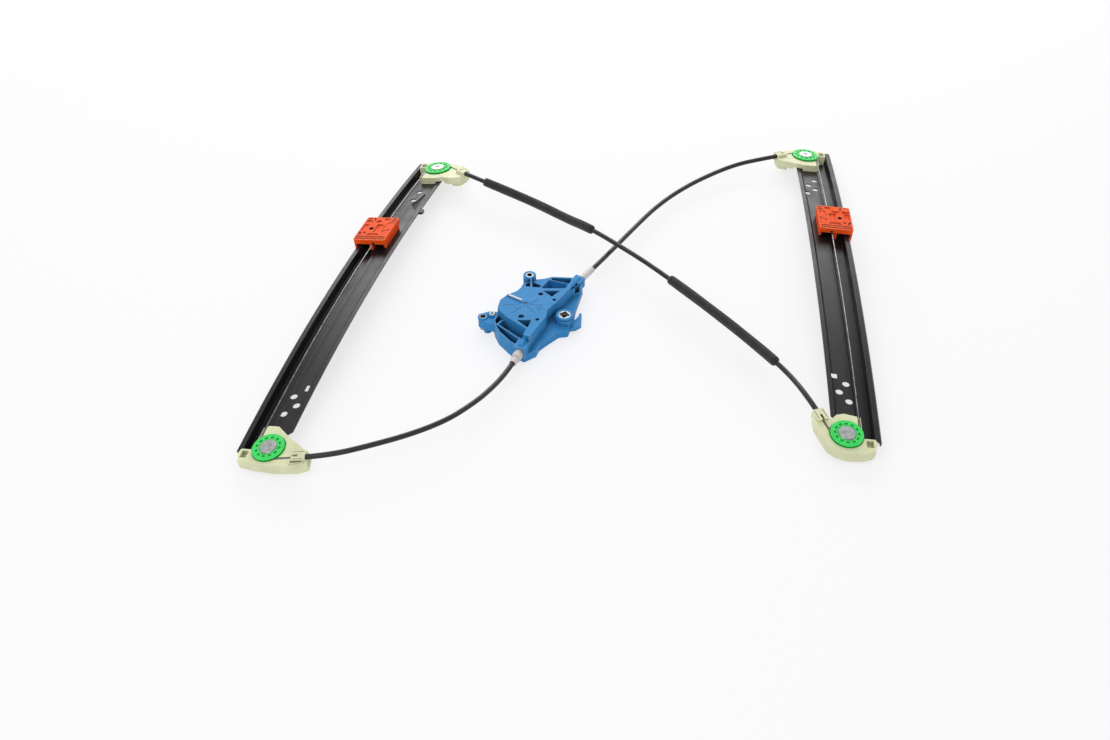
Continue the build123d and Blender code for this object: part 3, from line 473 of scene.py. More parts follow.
CROSS_WAY = [EXIT_UL.line(CONDUIT_FROM), EXIT_UL.line(14), at(-76, 190, 29), at(-22, 156, 24), at(17, 121, 24),
             at(38, 101, 27), at(58.5, 80.5, 28), at(107.6, 26.7, 28), at(131, -2, 27.5), at(154, -30.5, 27),
             at(201.2, -92.5, 25), at(240, -147.5, 23), at(264, -186, 22), EXIT_LR.line(20),
             EXIT_LR.line(CONDUIT_FROM)]


def linked(name, data):
    """New object of a mesh, curve, lamp or camera, put into the scene."""
    made = bpy.data.objects.new(name, data)
    bpy.context.scene.collection.objects.link(made)
    return made


def shade_faces(mesh, smooth):
    """Makes all faces of a mesh smooth, or all flat."""
    mesh.polygons.foreach_set("use_smooth", np.full(len(mesh.polygons), smooth))
    mesh.update()


def tube_quads(here):
    """Faces between neighbouring rows of a grid of point numbers, closed round each row."""
    after = np.roll(here, -1, axis=1)
    return np.stack([here[:-1], here[1:], after[1:], after[:-1]], axis=-1).reshape(-1, 4).tolist()


def route(name, way, radius):
    """NURBS curve of order 3 on the route's points, with a round section of the given radius."""
    curve = bpy.data.curves.new(name, "CURVE")
    curve.dimensions = "3D"
    spline = curve.splines.new("NURBS")
    spline.points.add(len(way) - 1)
    corners = np.ones((len(way), 4))
    corners[:, :3] = way
    spline.points.foreach_set("co", corners.ravel())
    spline.order_u = 3
    spline.use_endpoint_u = True
    curve.resolution_u = 16
    curve.bevel_depth = radius
    curve.bevel_resolution = 5
    curve.use_fill_caps = radius > 0
    return linked(name, curve)


def smooth_line(way):
    """Points along the route's own spline, read from the curve with no section."""
    bare = route("bare_route", way, 0.0)
    mesh = bpy.data.meshes.new_from_object(bare.evaluated_get(bpy.context.evaluated_depsgraph_get()))
    points = np.empty(len(mesh.vertices) * 3)
    mesh.vertices.foreach_get("co", points)
    bpy.data.objects.remove(bare)
    bpy.data.meshes.remove(mesh)
    return points.reshape(-1, 3)


def evenly(path, step):
    """The same line with points at equal distances, and the distance run at each."""
    run = np.concatenate([[0], np.cumsum(np.linalg.norm(np.diff(path, axis=0), axis=1))])
    even = np.linspace(0, run[-1], int(run[-1] / step) + 1)
    return np.column_stack([np.interp(even, run, path[:, k]) for k in range(3)]), even


def carried(name, path, radius, rows=None, loop=False):
    """Section carried along a path: ring k is centred on path[rows[k]] and has radius[k, j] at angle
    2 pi j / m, in the plane across the path.  With loop the last ring joins the first."""
    way = np.gradient(path, axis=0)
    way /= np.linalg.norm(way, axis=1)[:, None]
    side = np.cross(way, (0, 0, 1.0))
    side /= np.linalg.norm(side, axis=1)[:, None]
    up = np.cross(side, way)
    rows = np.arange(len(path)) if rows is None else rows
    n, m = radius.shape
    angle = np.linspace(0, 2 * pi, m, endpoint=False)[None, :, None]
    spokes = np.cos(angle) * side[rows, None] + np.sin(angle) * up[rows, None]
    rings = path[rows, None] + radius[..., None] * spokes
    here = np.arange(n * m).reshape(n, m)
    if loop:
        here = np.vstack([here, here[:1]])
    faces = tube_quads(here)
    if not loop:
        faces += [here[0].tolist(), here[-1][::-1].tolist()]
    mesh = bpy.data.meshes.new(name)
    mesh.from_pydata(rings.reshape(-1, 3), [], faces)
    shade_faces(mesh, True)
    return linked(name, mesh)


def placed(name, points, faces, smooth):
    """Mesh object of the given points and faces, whose faces are turned outwards."""
    mesh = bpy.data.meshes.new(name)
    mesh.from_pydata(points, [], faces)
    shape = bmesh.new()
    shape.from_mesh(mesh)
    bmesh.ops.remove_doubles(shape, verts=shape.verts, dist=MERGED)
    bmesh.ops.recalc_face_normals(shape, faces=shape.faces)
    shape.to_mesh(mesh)
    shape.free()
    shade_faces(mesh, smooth)
    return linked(name, mesh)


def lofted_loop(name, rings, smooth=True):
    """Closed surface over a grid of points: ring k runs along rings[k], and the last ring meets the first,
    so the grid closes both ways."""
    n, m = rings.shape[:2]
    here = np.arange(n * m).reshape(n, m)
    return placed(name, rings.reshape(-1, 3), tube_quads(np.vstack([here, here[:1]])), smooth)


def over_drum(flat, z):
    """Places in the frame of points measured from the drum's axis."""
    return np.column_stack([flat + DRUM_AT, np.full(len(flat), z)])


def over_rail(rail):
    """The same for points (u, t) of a carrier, measured where it stands on its rail."""
    return lambda flat, v: rail.beside(CARRIER_S, flat[:, 0], flat[:, 1], v)


def blocks(name, outlines, place=over_drum):
    """Straight-sided blocks: each outline, in mm, is carried from height z0 up to z1 and then placed."""
    points, faces = [], []
    for z0, z1, outline in outlines:
        flat = np.array(outline) * MM
        first, m = sum(len(p) for p in points), len(outline)
        points += [place(flat, z * MM) for z in (z0, z1)]
        here = first + np.arange(m)
        after = np.roll(here, -1)
        faces += np.stack([here, after, after + m, here + m], axis=-1).tolist()
        faces += [here[::-1].tolist(), (here + m).tolist()]
    return placed(name, np.concatenate(points), faces, False)


def carve(piece, tool, operation):
    """Joins the tool to the piece (UNION), or takes it out of the piece (DIFFERENCE), and removes the tool."""
    cut = piece.modifiers.new("carve", "BOOLEAN")
    cut.operation, cut.object, cut.solver, cut.use_self = operation, tool, "EXACT", True
    graph = bpy.context.evaluated_depsgraph_get()
    graph.update()
    mesh = bpy.data.meshes.new_from_object(piece.evaluated_get(graph))
    piece.modifiers.clear()
    piece.data = mesh
    bpy.data.objects.remove(tool)


def merged_copy(node, name):
    """Copy of a CAD node whose doubled points are merged, ready to be carved."""
    shape = bmesh.new()
    shape.from_mesh(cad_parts[node].data)
    bmesh.ops.remove_doubles(shape, verts=shape.verts, dist=MERGED)
    mesh = bpy.data.meshes.new(name)
    shape.to_mesh(mesh)
    shape.free()
    return linked(name, mesh)


def wall(x0, y0, x1, y1, thick):
    """Outline of a thin wall between two points."""
    k = thick / 2 / np.hypot(x1 - x0, y1 - y0)
    nx, ny = (y0 - y1) * k, (x1 - x0) * k
    return ((x0 + nx, y0 + ny), (x0 - nx, y0 - ny), (x1 - nx, y1 - ny), (x1 + nx, y1 + ny))


def seat_strip(mouth, heading, d0, d1, off, half):
    """Outline of a strip along a conduit seat, from d0 to d1 along it, off beside it and 2 half wide."""
    c, s = cos(radians(heading)), sin(radians(heading))
    return [(mouth[0] + d * c - w * s, mouth[1] + d * s + w * c)
            for d, w in ((d0, off - half), (d1, off - half), (d1, off + half), (d0, off + half))]


def round_outline(x, y, r):
    """Outline of a circle of radius r about (x, y)."""
    angle = np.linspace(0, 2 * pi, 32, endpoint=False)
    return np.column_stack([x + r * np.cos(angle), y + r * np.sin(angle)]).tolist()


def grown(outline, by):
    """The same outline with its corners moved away from its middle by a distance."""
    points = np.array(outline, float)
    away = points - points.mean(axis=0)
    return (points + away / np.linalg.norm(away, axis=1)[:, None] * by).tolist()


def half_round(name, path, width, height):
    """Bead along a path on a flat face: at angle a of the half circle it stands height sin a high and
    width/2 cos a beside the path, its keel goes a quarter of the height into the face, and over the first
    and last three points it narrows almost to nothing."""
    up = np.array([0, 0, 1.0])
    way = np.gradient(path, axis=0)
    way /= np.linalg.norm(way, axis=1)[:, None]
    side = np.cross(way, up)
    angle = np.linspace(0, pi, 13)
    sweep = np.concatenate([np.cos(angle), np.zeros(1)])
    rise = np.concatenate([np.sin(angle), [-0.25]])
    from_end = np.minimum(np.arange(len(path)), np.arange(len(path))[::-1])
    k = np.sin(np.clip(from_end / 3, 0.02, 1) * pi / 2)[:, None, None]
    rings = path[:, None] + k * (width / 2 * sweep[None, :, None] * side[:, None]
                                 + height * rise[None, :, None] * up)
    n, m = rings.shape[:2]
    here = np.arange(n * m).reshape(n, m)
    ends = [here[0].tolist(), here[-1].tolist()]
    return placed(name, rings.reshape(-1, 3), tube_quads(here) + ends, True)


def finish_piece(piece, material, body, slot, *nodes):
    """Gives a new piece its finish and body, and lets it stand for the CAD nodes named.  The slot is not used.
    """
    piece.data.materials.clear()
    piece.data.materials.append(material)
    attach(piece, body)
    if nodes:
        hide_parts(*nodes)


# ---- pieces and their operators


def shade_pad():
    """Dark foam pad under the opening of the left rail, put there as painted shade in the opening: its outline
    (u, s) in mm is carried along the sheet's normal, from 1.5 to 3.5 mm under the sheet's face."""
    outline = ((15.0, 228.0), (20.0, 224.0), (20.0, 174.0), (9.4, 187.0), (8.4, 198.5), (9.4, 200.6),
               (12.4, 205.0), (13.4, 216.0))
    return blocks("shade_pad", [(-3.5, -1.5, outline)],
                  lambda flat, v: LEFT.point(flat[:, 1], flat[:, 0], np.full(len(flat), v)))


class REGULATOR_OT_rails(bpy.types.Operator):
    """Gives both rails their electro-coated finish and puts a dark foam pad, a painted shade, under the left
    one's opening
    """
    bl_idname = "regulator.rails"
    bl_label = "Rails"

    def execute(self, context):
        dress(e_coated_steel(), "rail_left", "rail_right")
        finish_piece(shade_pad(), ribbed_foam(), "frame", "foam_black")
        return {"FINISHED"}


class REGULATOR_OT_brackets(bpy.types.Operator):
    """Gives the four end brackets their natural acetal"""
    bl_idname = "regulator.brackets"
    bl_label = "End brackets"

    def execute(self, context):
        dress(natural_acetal(), "upper_bracket_left", "lower_bracket_left", "upper_bracket_right",
              "lower_bracket_right")
        return {"FINISHED"}


# radius and height of a pulley's section in mm, from its bore round the groove to the pin's recess
PULLEY_RING = ((6.08, 10.5), (6.08, 6.0), (17.2, 6.0), (18.0, 6.6), (18.0, 7.1), (14.0, 7.8), (13.8, 8.0),
               (13.8, 10.0), (14.0, 10.2), (18.0, 10.9), (18.0, 11.5), (17.7, 11.9), (17.3, 12.0))
PULLEY_TOP = ((16.9, 12.0), (16.75, 11.75), (16.3, 11.7), (15.9, 11.75), (15.75, 12.0))
PULLEY_HUB = ((11.0, 12.0), (10.85, 11.8), (10.6, 11.8), (10.45, 12.0), (9.8, 11.9), (9.8, 10.5))
PULLEY_POCKETS = 12
POCKET_R, POCKET_HALF_R, POCKET_HALF_A = 12.9 * MM, 1.25 * MM, 1.85 * MM    # middle, half depth, half width
POCKET_EDGE = 0.4 * MM      # width over which a pocket's wall falls
POCKET_DEEP = 1.5 * MM


def pulley_disc(name, rail, s):
    """Ring turned about the pulley's axis: the section's radius r and height v go round angle a.  On the
    top face v drops by the pockets' depth where r and a lie inside one of them."""
    face = [(r, 12.0) for r in np.linspace(15.4, 11.2, 29)]
    section = np.array([*PULLEY_RING, *PULLEY_TOP, *face, *PULLEY_HUB]) * MM
    r = section[:, :1]
    a = np.linspace(0, 2 * pi, PULLEY_POCKETS * 24, endpoint=False)[None]
    pitch = 2 * pi / PULLEY_POCKETS
    across = np.abs((a + pitch / 2) % pitch - pitch / 2) * r
    edge = np.maximum(across - POCKET_HALF_A, np.abs(r - POCKET_R) - POCKET_HALF_R)
    on_face = (section[:, 1:] > 11.99 * MM) * (r < 15.5 * MM)
    v = section[:, 1:] - POCKET_DEEP * np.clip(0.5 - edge / POCKET_EDGE, 0, 1) * on_face
    return lofted_loop(name, rail.beside(s, GROOVE_R + r * np.cos(a), r * np.sin(a), v), smooth=False)


class REGULATOR_OT_pulleys(bpy.types.Operator):
    """Makes the green pulleys with their rings and pockets, and gives each pin its turned, plated face"""
    bl_idname = "regulator.pulleys"
    bl_label = "Pulleys and pins"

    def execute(self, context):
        green = green_acetal()
        for side, rail in (("left", LEFT), ("right", RIGHT)):
            for end, s in (("upper", S_UP), ("lower", S_LOW)):
                piece = pulley_disc(f"pulley_disc_{end}_{side}", rail, s)
                finish_piece(piece, green, f"pulley_{end}_{side}", "pulley_green", f"{end}_pulley_{side}")
                pin = f"{end}_pulley_pin_{side}"
                low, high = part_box(pin)
                centre = ((low.x + high.x) / 2, (low.y + high.y) / 2, high.z)
                dress(zinc_plated_steel(f"Turned pin {end} {side}", centre), pin)
        return {"FINISHED"}


# a carrier's plate, and the pockets between its ribs: floor and outline (u, t) in mm
PLATE_FLOOR, PLATE_FACE, OVER_PLATE = 11.5, 14.0, 16.0
CLAMP_U = -12.4             # axis of the clamp bolt of the glass
PLATE = ((-27.3, -25.0), (-24.6, -27.8), (13.0, -27.8), (15.8, -25.0), (15.8, 25.0), (13.0, 27.8),
         (-24.6, 27.8), (-27.3, 25.0))
CARRIER_POCKETS = (
    (12.4, ((-25.8, -26.2), (14.2, -26.2), (14.2, -23.4), (-25.8, -23.4))),
    (12.4, ((-25.8, -21.9), (14.2, -21.9), (14.2, -18.4), (-25.8, -18.4))),
    (13.0, ((14.2, -16.6), (7.6, -16.6), (5.0, -11.0), (3.4, -4.6), (6.2, -3.2), (14.2, 1.6))),
    (13.0, ((14.2, 3.6), (6.0, -1.2), (2.8, -2.4), (2.8, 5.0), (4.2, 12.0), (6.2, 16.4), (14.2, 16.9))),
    (12.4, ((14.2, 18.5), (7.2, 18.1), (8.2, 21.2), (14.2, 21.4))),
    (12.4, ((14.2, 23.0), (8.8, 22.8), (9.6, 26.2), (14.2, 26.2))),
    (12.4, ((6.4, 26.2), (-2.2, 26.2), (-2.2, 20.6), (4.0, 18.6))),
    (12.2, ((1.2, -8.6), (-8.0, -8.6), (-8.0, 11.2), (-2.4, 11.2), (2.2, 9.6), (1.2, 2.0))),
    (12.4, ((-14.4, 26.2), (-17.6, 26.2), (-15.2, 18.6), (-13.6, 16.4))),
    (12.4, ((-19.6, 26.2), (-25.8, 26.2), (-25.8, 22.6), (-18.6, 22.6))),
    (12.4, ((-18.2, 21.0), (-25.8, 21.0), (-25.8, 14.4), (-16.2, 14.4))),
    (12.4, ((-18.6, 11.2), (-25.8, 11.2), (-25.8, -4.6), (-22.8, -5.0), (-18.6, 1.6))),
    (12.4, ((-14.2, -9.2), (-21.2, -8.4), (-17.6, -15.0))),
    (12.4, ((-1.0, -10.6), (-11.4, -10.9), (-14.6, -16.6), (2.8, -16.6), (1.6, -12.0))),
    (12.4, ((-23.4, -8.2), (-25.8, -7.2), (-25.8, -16.6), (-19.6, -16.6))),
    (5.0, round_outline(CLAMP_U, 0, 3.3)),
    (12.2, round_outline(-8.0, 17.6, 4.0)),
)
# the clamp insert's section: radius and height in mm
INSERT = ((3.28, 7.8), (3.28, 13.7), (2.9, 13.9), (2.6, 13.7), (2.5, 10.4), (0.02, 10.4), (0.02, 7.8))


def ribbed_carrier(side, rail):
    """The carrier's solid with its plate's face made anew: ribs stand between shallow pockets, with an arch
    beside the clamp's hole and a bow across the plate."""
    piece = merged_copy(f"carrier_{side}", f"carrier_shell_{side}")
    place = over_rail(rail)
    carve(piece, blocks("solid", [(PLATE_FLOOR, PLATE_FACE, PLATE)], place), "UNION")
    away = [(floor, OVER_PLATE, pocket) for floor, pocket in CARRIER_POCKETS]
    carve(piece, blocks("away", away, place), "DIFFERENCE")
    shade_faces(piece.data, False)
    return piece


def clamp_insert(side, rail):
    """Cup turned about the clamp bolt's axis: the insert's radius r and height v go round angle a."""
    section = np.array(INSERT) * MM
    a = np.linspace(0, 2 * pi, 40, endpoint=False)[None]
    r = section[:, :1]
    v = np.broadcast_to(section[:, 1:], (len(section), a.size))
    grid = rail.beside(CARRIER_S, CLAMP_U * MM + r * np.cos(a), r * np.sin(a), v)
    return lofted_loop(f"clamp_insert_{side}", grid, smooth=False)


class REGULATOR_OT_carriers(bpy.types.Operator):
    """Makes the ribbed orange glass carriers with their clamp inserts, and finishes the wire ends"""
    bl_idname = "regulator.carriers"
    bl_label = "Glass carriers"

    def execute(self, context):
        orange, black = glass_filled_polyester(), extruded_nylon()
        for side, rail in (("left", LEFT), ("right", RIGHT)):
            body = f"carriage_{side}"
            finish_piece(ribbed_carrier(side, rail), orange, body, "carrier_red", f"carrier_{side}")
            finish_piece(clamp_insert(side, rail), black, body, "conduit_black")
        dress(die_cast_zinc(), "cable_nipples_left", "cable_nipples_right")
        return {"FINISHED"}


COVER_FACE, OVER_HOUSING = 30.0, 31.5      # heights in mm
CUP_BASE, CUP_TOP, CUP_FLOOR, CUP_WALL = 2.4, 11.5, 3.9, 1.8       # heights, and the wall's thickness
# outlines in mm from the drum's axis: pockets that go down into cups under the deck
DEEP_POCKETS = (
    ((-24.9, -22.0), (-22.2, -26.0), (1.6, -48.9), (-2.8, -58.9), (-31.9, -29.7)),
    ((-33.7, -30.8), (-6.8, -57.7), (-10.6, -66.6), (-16.8, -60.9), (-29.5, -43.4), (-34.2, -33.0)),
    ((31.0, 59.1), (32.4, 62.0), (55.4, 60.6), (58.6, 58.6), (54.0, 51.9)),
    ((19.6, 30.8), (19.2, 41.6), (28.4, 57.2), (55.4, 47.9), (44.2, 30.8)),
)
# pockets with a floor at the height given
DECK_POCKETS = (
    (12.0, ((-32.3, -12.6), (-27.0, -19.8), (-34.6, -29.4), (-36.2, -22.3))),
    (11.0, ((20.9, 25.2), (42.0, 25.2), (31.8, 14.0))),
    (11.0, ((-10.0, -31.4), (7.2, -31.8), (3.3, -46.0))),
    (16.0, ((-0.5, 37.8), (4.4, 37.0), (4.4, 50.5), (-0.5, 48))),
    (16.0, ((7.8, 36.6), (16.6, 34.6), (17.4, 41.5), (18.0, 46), (7.8, 51))),
    (5.0, ((59.5, 36.9), (65.6, 41.4), (66.0, 45.6), (63.6, 45.4), (60.5, 44.5))),
    (24.9, round_outline(-4.8, -24.9, 3.6)),
)
# places to lower, with the height that stays
LOWERED = (
    (23.0, ((-6, 34.4), (18.6, 31.2), (18.9, 29.8), (46.8, 29.8), (52.0, 33.8), (50.3, 37.5), (30, 40),
            (24, 46.5), (9.5, 54), (-6, 52))),
    (16.0, ((57.0, 33.5), (67.5, 41.2), (66.2, 42.0), (60.4, 37.8))),
)
RIM = ((-31.7, -12.3), (-22.1, -25.6), (3.1, -49.2), (1.5, -45.0), (-21.5, -19.5), (-29, -13.5))
# blocks to add: lower and upper height and outline
BRIDGES = (
    (12.0, 30.0, RIM),
    (21.2, 23.0, seat_strip(*LOW_SEAT, 19, 37.5, 0.4, 7.3)),
    (9.5, 23.0, seat_strip(*LOW_SEAT, 17, 37.5, -6.75, 0.5)),
    (23.4, 25.2, seat_strip(*UP_SEAT, 27, 41.5, 0, 6.4)),
    (12.0, 25.2, seat_strip(*UP_SEAT, 27, 41.5, -5.8, 0.6)),
    (12.0, 25.2, seat_strip(*UP_SEAT, 27, 41.5, 5.8, 0.6)),
)
THIN_RIBS = ((20.0, 28.0, wall(6.1, 33.8, 5.7, 54.5, 1.4)), (13.0, 22.6, wall(17.9, 41.5, 28.4, 59.3, 1.5)))


def ribbed_housing():
    """The housing's solid with a lower deck at the drum bush, thin ribs left between deep pockets, a rim
    along the cover's corner and a bridge over each ferrule."""
    piece = merged_copy("drum_housing", "housing_shell")
    cups = [(CUP_BASE, CUP_TOP, grown(pocket, CUP_WALL)) for pocket in DEEP_POCKETS]
    away = [(CUP_FLOOR, OVER_HOUSING, pocket) for pocket in DEEP_POCKETS]
    away += [(floor, OVER_HOUSING, pocket) for floor, pocket in DECK_POCKETS]
    carve(piece, blocks("solid", cups), "UNION")
    for block in BRIDGES:
        carve(piece, blocks("solid", [block]), "UNION")
    for floor, outline in LOWERED:
        carve(piece, blocks("away", [(floor, OVER_HOUSING, outline)]), "DIFFERENCE")
    carve(piece, blocks("away", away), "DIFFERENCE")
    for block in THIN_RIBS:
        carve(piece, blocks("solid", [block]), "UNION")
    shade_faces(piece.data, False)
    return piece


def raised_ring(name, x, y, r, width, height):
    """Low ring on the cover: half-round section of the width and height, carried round radius r."""
    turn = np.linspace(0, 2 * pi, 64, endpoint=False)[:, None]
    angle = np.linspace(0, 2 * pi, 12, endpoint=False)[None]
    out = r * MM + width / 2 * MM * np.cos(angle)
    z = COVER_FACE * MM + np.maximum(height * MM * np.sin(angle), -0.2 * MM)
    rings = np.stack([DRUM_AT[0] + x * MM + out * np.cos(turn), DRUM_AT[1] + y * MM + out * np.sin(turn),
                      np.broadcast_to(z, (turn.size, angle.size))], axis=-1)
    return lofted_loop(name, rings)


def collar(name, x, y, inner, outer, z0, z1):
    """Moulded collar round a bush: a section with a rounded lip, between radii inner and outer and heights
    z0 and z1, carried round the bush's axis."""
    lip = np.linspace(0, pi, 9)
    middle, half = (inner + outer) / 2, (outer - inner) / 2
    section = np.array([(outer, z0), *zip(middle + half * np.cos(lip), z1 - 0.7 + 0.7 * np.sin(lip)),
                        (inner, z0)])
    turn = np.linspace(0, 2 * pi, 56, endpoint=False)[None]
    r = section[:, :1] * MM
    rings = np.stack([DRUM_AT[0] + x * MM + r * np.cos(turn), DRUM_AT[1] + y * MM + r * np.sin(turn),
                      np.broadcast_to(section[:, 1:] * MM, (len(section), turn.size))], axis=-1)
    return lofted_loop(name, rings)


# each ring: middle, radius, width and height
COVER_RINGS = (("cover_ring", 17.2, -6.8, 4.4, 0.9, 0.45), ("cover_ring_inner", 17.2, -6.8, 1.8, 0.8, 0.4),
               ("hub_ring", 0, 0, 3.1, 0.9, 0.6))
# each collar: middle, inner and outer radius, lower and upper height
COLLARS = (("bush_collar_top", 3.8, 61.0, 4.6, 7.9, 25.2, 27.9),
           ("bush_collar_left", -51.4, -11.5, 3.7, 6.2, 17.4, 19.6),
           ("bush_collar_right", 46.8, -10.7, 7.2, 10.6, 19.2, 21.7),
           ("screw_collar", -40.4, -7.5, 3.1, 5.0, 17.4, 20.4))
# each tube: its seat, height, and where it starts and ends along the seat
SEAT_TUBES = (("seat_tube_lower", LOW_SEAT, 22.8, 22, 50), ("seat_tube_upper", UP_SEAT, 25.0, 29, 58))
BEAD_ENDS = np.array(((-3.4, 4.6, 30.9), (-22.2, 16.4, 30.9))) * MM
BEAD_SIZE, TUBE_SIZE = (3.4 * MM, 1.1 * MM), (7.4 * MM, 2.2 * MM)       # width and height


class REGULATOR_OT_drum(bpy.types.Operator):
    """Makes the ribbed drum housing and finishes its drum, bushes, screw and ferrules"""
    bl_idname = "regulator.drum"
    bl_label = "Drum housing"

    def execute(self, context):
        blue = filled_polyester_blue()
        finish_piece(ribbed_housing(), blue, "frame", "housing_blue", "drum_housing")
        for ring in COVER_RINGS:
            finish_piece(raised_ring(*ring), blue, "frame", "housing_blue")
        reach = np.linspace(0, 1, 24)[:, None]
        path = BEAD_ENDS[0] + (BEAD_ENDS[1] - BEAD_ENDS[0]) * reach + np.array([*DRUM_AT, 0])
        # the bead's pale colour is a painted highlight
        finish_piece(half_round("cover_bead", path, *BEAD_SIZE), highlight_painted_polyester(), "frame",
                     "housing_blue")
        for numbers in COLLARS:
            finish_piece(collar(*numbers), blue, "frame", "housing_blue")
        for name, seat, z, near, far in SEAT_TUBES:
            path = np.array([mouth_point(*seat, z, d) for d in np.linspace(near, far, 24)])
            finish_piece(half_round(name, path, *TUBE_SIZE), blue, "frame", "housing_blue")
        dress(white_acetal(), "cable_drum")
        dress(natural_nylon(), "drum_ferrule_lower", "drum_ferrule_upper")
        dress(zinc_plated_steel("Dull zinc-plated steel", bright=0.62), "mount_bush_top", "mount_bush_left",
              "mount_bush_right", "housing_screw")
        return {"FINISHED"}


ROPE_STEP, SLEEVE_STEP = 1.2 * MM, 2.0 * MM     # between the rings along a wire and a sleeve


class REGULATOR_OT_wires(bpy.types.Operator):
    """Lays a six-strand rope over each rail and finishes the wire at the drum"""
    bl_idname = "regulator.wires"
    bl_label = "Wires"

    def execute(self, context):
        rope = galvanised_rope()
        for side, rail, low, up in (("left", LEFT, EXIT_LL, EXIT_UL), ("right", RIGHT, EXIT_LR, EXIT_UR)):
            middle = rail.point(np.linspace(S_LOW, S_UP, 300)[1:-1], 0.0, WIRE_V)
            line = np.vstack([low.line(WIRE_TO), low.wrap()[::-1], middle, up.wrap(), up.line(WIRE_TO)])
            path, run = evenly(line, ROPE_STEP)
            angle = np.linspace(0, 2 * pi, 24, endpoint=False)
            # six strands: the radius follows 0.8 + 0.2 |cos 3(a - turn)|, turned once in each lay
            lay = 2 * pi * run / sizes().wire_lay
            lobes = np.abs(np.cos(3 * (angle[None] - lay[:, None])))
            piece = carried(f"wire_rope_{side}", path, sizes().wire_radius * (0.8 + 0.2 * lobes))
            finish_piece(piece, rope, "frame", "wire_steel", f"cable_{side}")
        dress(rope, "drum_strand_lower", "drum_strand_upper", "drum_windings")
        return {"FINISHED"}


class REGULATOR_OT_conduits(bpy.types.Operator):
    """Lays the three sheathed conduits along their routes"""
    bl_idname = "regulator.conduits"
    bl_label = "Conduits"

    def execute(self, context):
        sheath = extruded_nylon()
        for name, way in (("lower", LOWER_WAY), ("upper", UPPER_WAY), ("cross", CROSS_WAY)):
            piece = route(f"sheath_{name}", way, sizes().conduit_radius)
            finish_piece(piece, sheath, "frame", "conduit_black", f"conduit_{name}")
        return {"FINISHED"}


# each sleeve goes from halfway after one point of the route to halfway after another
SLEEVE_SPANS = (("upper", 1, 5), ("lower", 8, 11))


class REGULATOR_OT_sleeves(bpy.types.Operator):
    """Slides the two ridged foam sleeves over the long conduit"""
    bl_idname = "regulator.sleeves"
    bl_label = "Foam sleeves"

    def execute(self, context):
        foam = ribbed_foam()
        path = evenly(smooth_line(CROSS_WAY), SLEEVE_STEP)[0]
        for name, *span in SLEEVE_SPANS:
            first, last = (np.argmin(np.linalg.norm(path - (CROSS_WAY[k] + CROSS_WAY[k + 1]) / 2, axis=1))
                           for k in span)
            piece = foam_sleeve(f"foam_{name}", path[first:last + 1])
            finish_piece(piece, foam, "frame", "foam_black", f"foam_sleeve_{name}")
        return {"FINISHED"}


def foam_sleeve(name, path):
    """Tube whose outside has 14 ridges along it, each a half wave, that lean and swell a little with
    the length, and whose ends are cut square; the inside closes on the conduit."""
    m, ridges = 84, 14
    angle = np.linspace(0, 2 * pi, m, endpoint=False)[None]
    run = np.linspace(0, 1, len(path))[:, None]
    wave = np.abs(np.sin(ridges / 2 * (angle + 0.25 * np.sin(3 * run))))
    swell = 1 - 0.02 * np.sin(9 * run + 2 * angle) ** 2
    outside = (sizes().sleeve_radius - sizes().sleeve_ridge * (1 - wave)) * swell
    lip = outside[[0, -1]] - 0.5 * MM
    last = len(path) - 1
    back = np.arange(last - 1, 0, -8)
    bore = np.full((len(back) + 2, m), sizes().conduit_radius * 1.01)
    radius = np.vstack([bore[:1], lip[:1], outside[1:-1], lip[1:], bore[1:]])
    rows = np.concatenate([[0, 0], np.arange(1, last), [last, last], back])
    return carried(name, path, radius, rows, loop=True)


def add_lamp(name, at_point, towards, width, height, power):
    lamp = bpy.data.lights.new(name, "AREA")
    lamp.shape, lamp.size, lamp.size_y, lamp.energy = "RECTANGLE", width, height, power
    holder = linked(name, lamp)
    holder.location = at_point
    holder.rotation_euler = (Vector(towards) - Vector(at_point)).to_track_quat("-Z", "Y").to_euler()


def paper_floor():
    """Matt white studio paper: shown near white to the lens and in gloss, and still takes a shadow."""
    made, tree, shader = start("Matt studio paper", Roughness=0.9, Specular_IOR_Level=0.1)
    fibre = between(tree, spots(tree, 2.0, 2), 0, 1)
    plug(tree, shader, Base_Color=blend(tree, fibre, linear("#F6F6F8"), linear("#FAFAFC")))
    light = add(tree, "ShaderNodeLightPath").outputs
    seen = light["Is Camera Ray"]
    for ray in ("Is Glossy Ray", "Is Transmission Ray"):
        seen = add(tree, "ShaderNodeMath", {"operation": "MAXIMUM"}, {0: seen, 1: light[ray]}).outputs[0]
    share = add(tree, "ShaderNodeMath", {"operation": "MULTIPLY", 1: 0.72}, {0: seen}).outputs[0]
    white = add(tree, "ShaderNodeEmission", {"Color": linear("#FDFDFE"), "Strength": 1.0})
    mixed = add(tree, "ShaderNodeMixShader", links={0: share, 1: shader.outputs[0], 2: white.outputs[0]})
    out = next(n for n in tree.nodes if n.type == "OUTPUT_MATERIAL")
    tree.links.new(mixed.outputs[0], out.inputs[0])
    return made


def white_world():
    """Even studio light: one level on the object and in gloss, and near white to the lens."""
    world = bpy.data.worlds.new("Studio")
    bpy.context.scene.world = world
    world.use_nodes = True
    tree = world.node_tree
    tree.nodes.clear()
    light = add(tree, "ShaderNodeLightPath").outputs
    level = add(tree, "ShaderNodeMapRange", {"To Min": 0.7, "To Max": 0.98}, {"Value": light["Is Camera Ray"]})
    back = add(tree, "ShaderNodeBackground", {"Color": linear("#FEFEFF")}, {"Strength": level.outputs[0]})
    add(tree, "ShaderNodeOutputWorld", links={"Surface": back.outputs[0]})


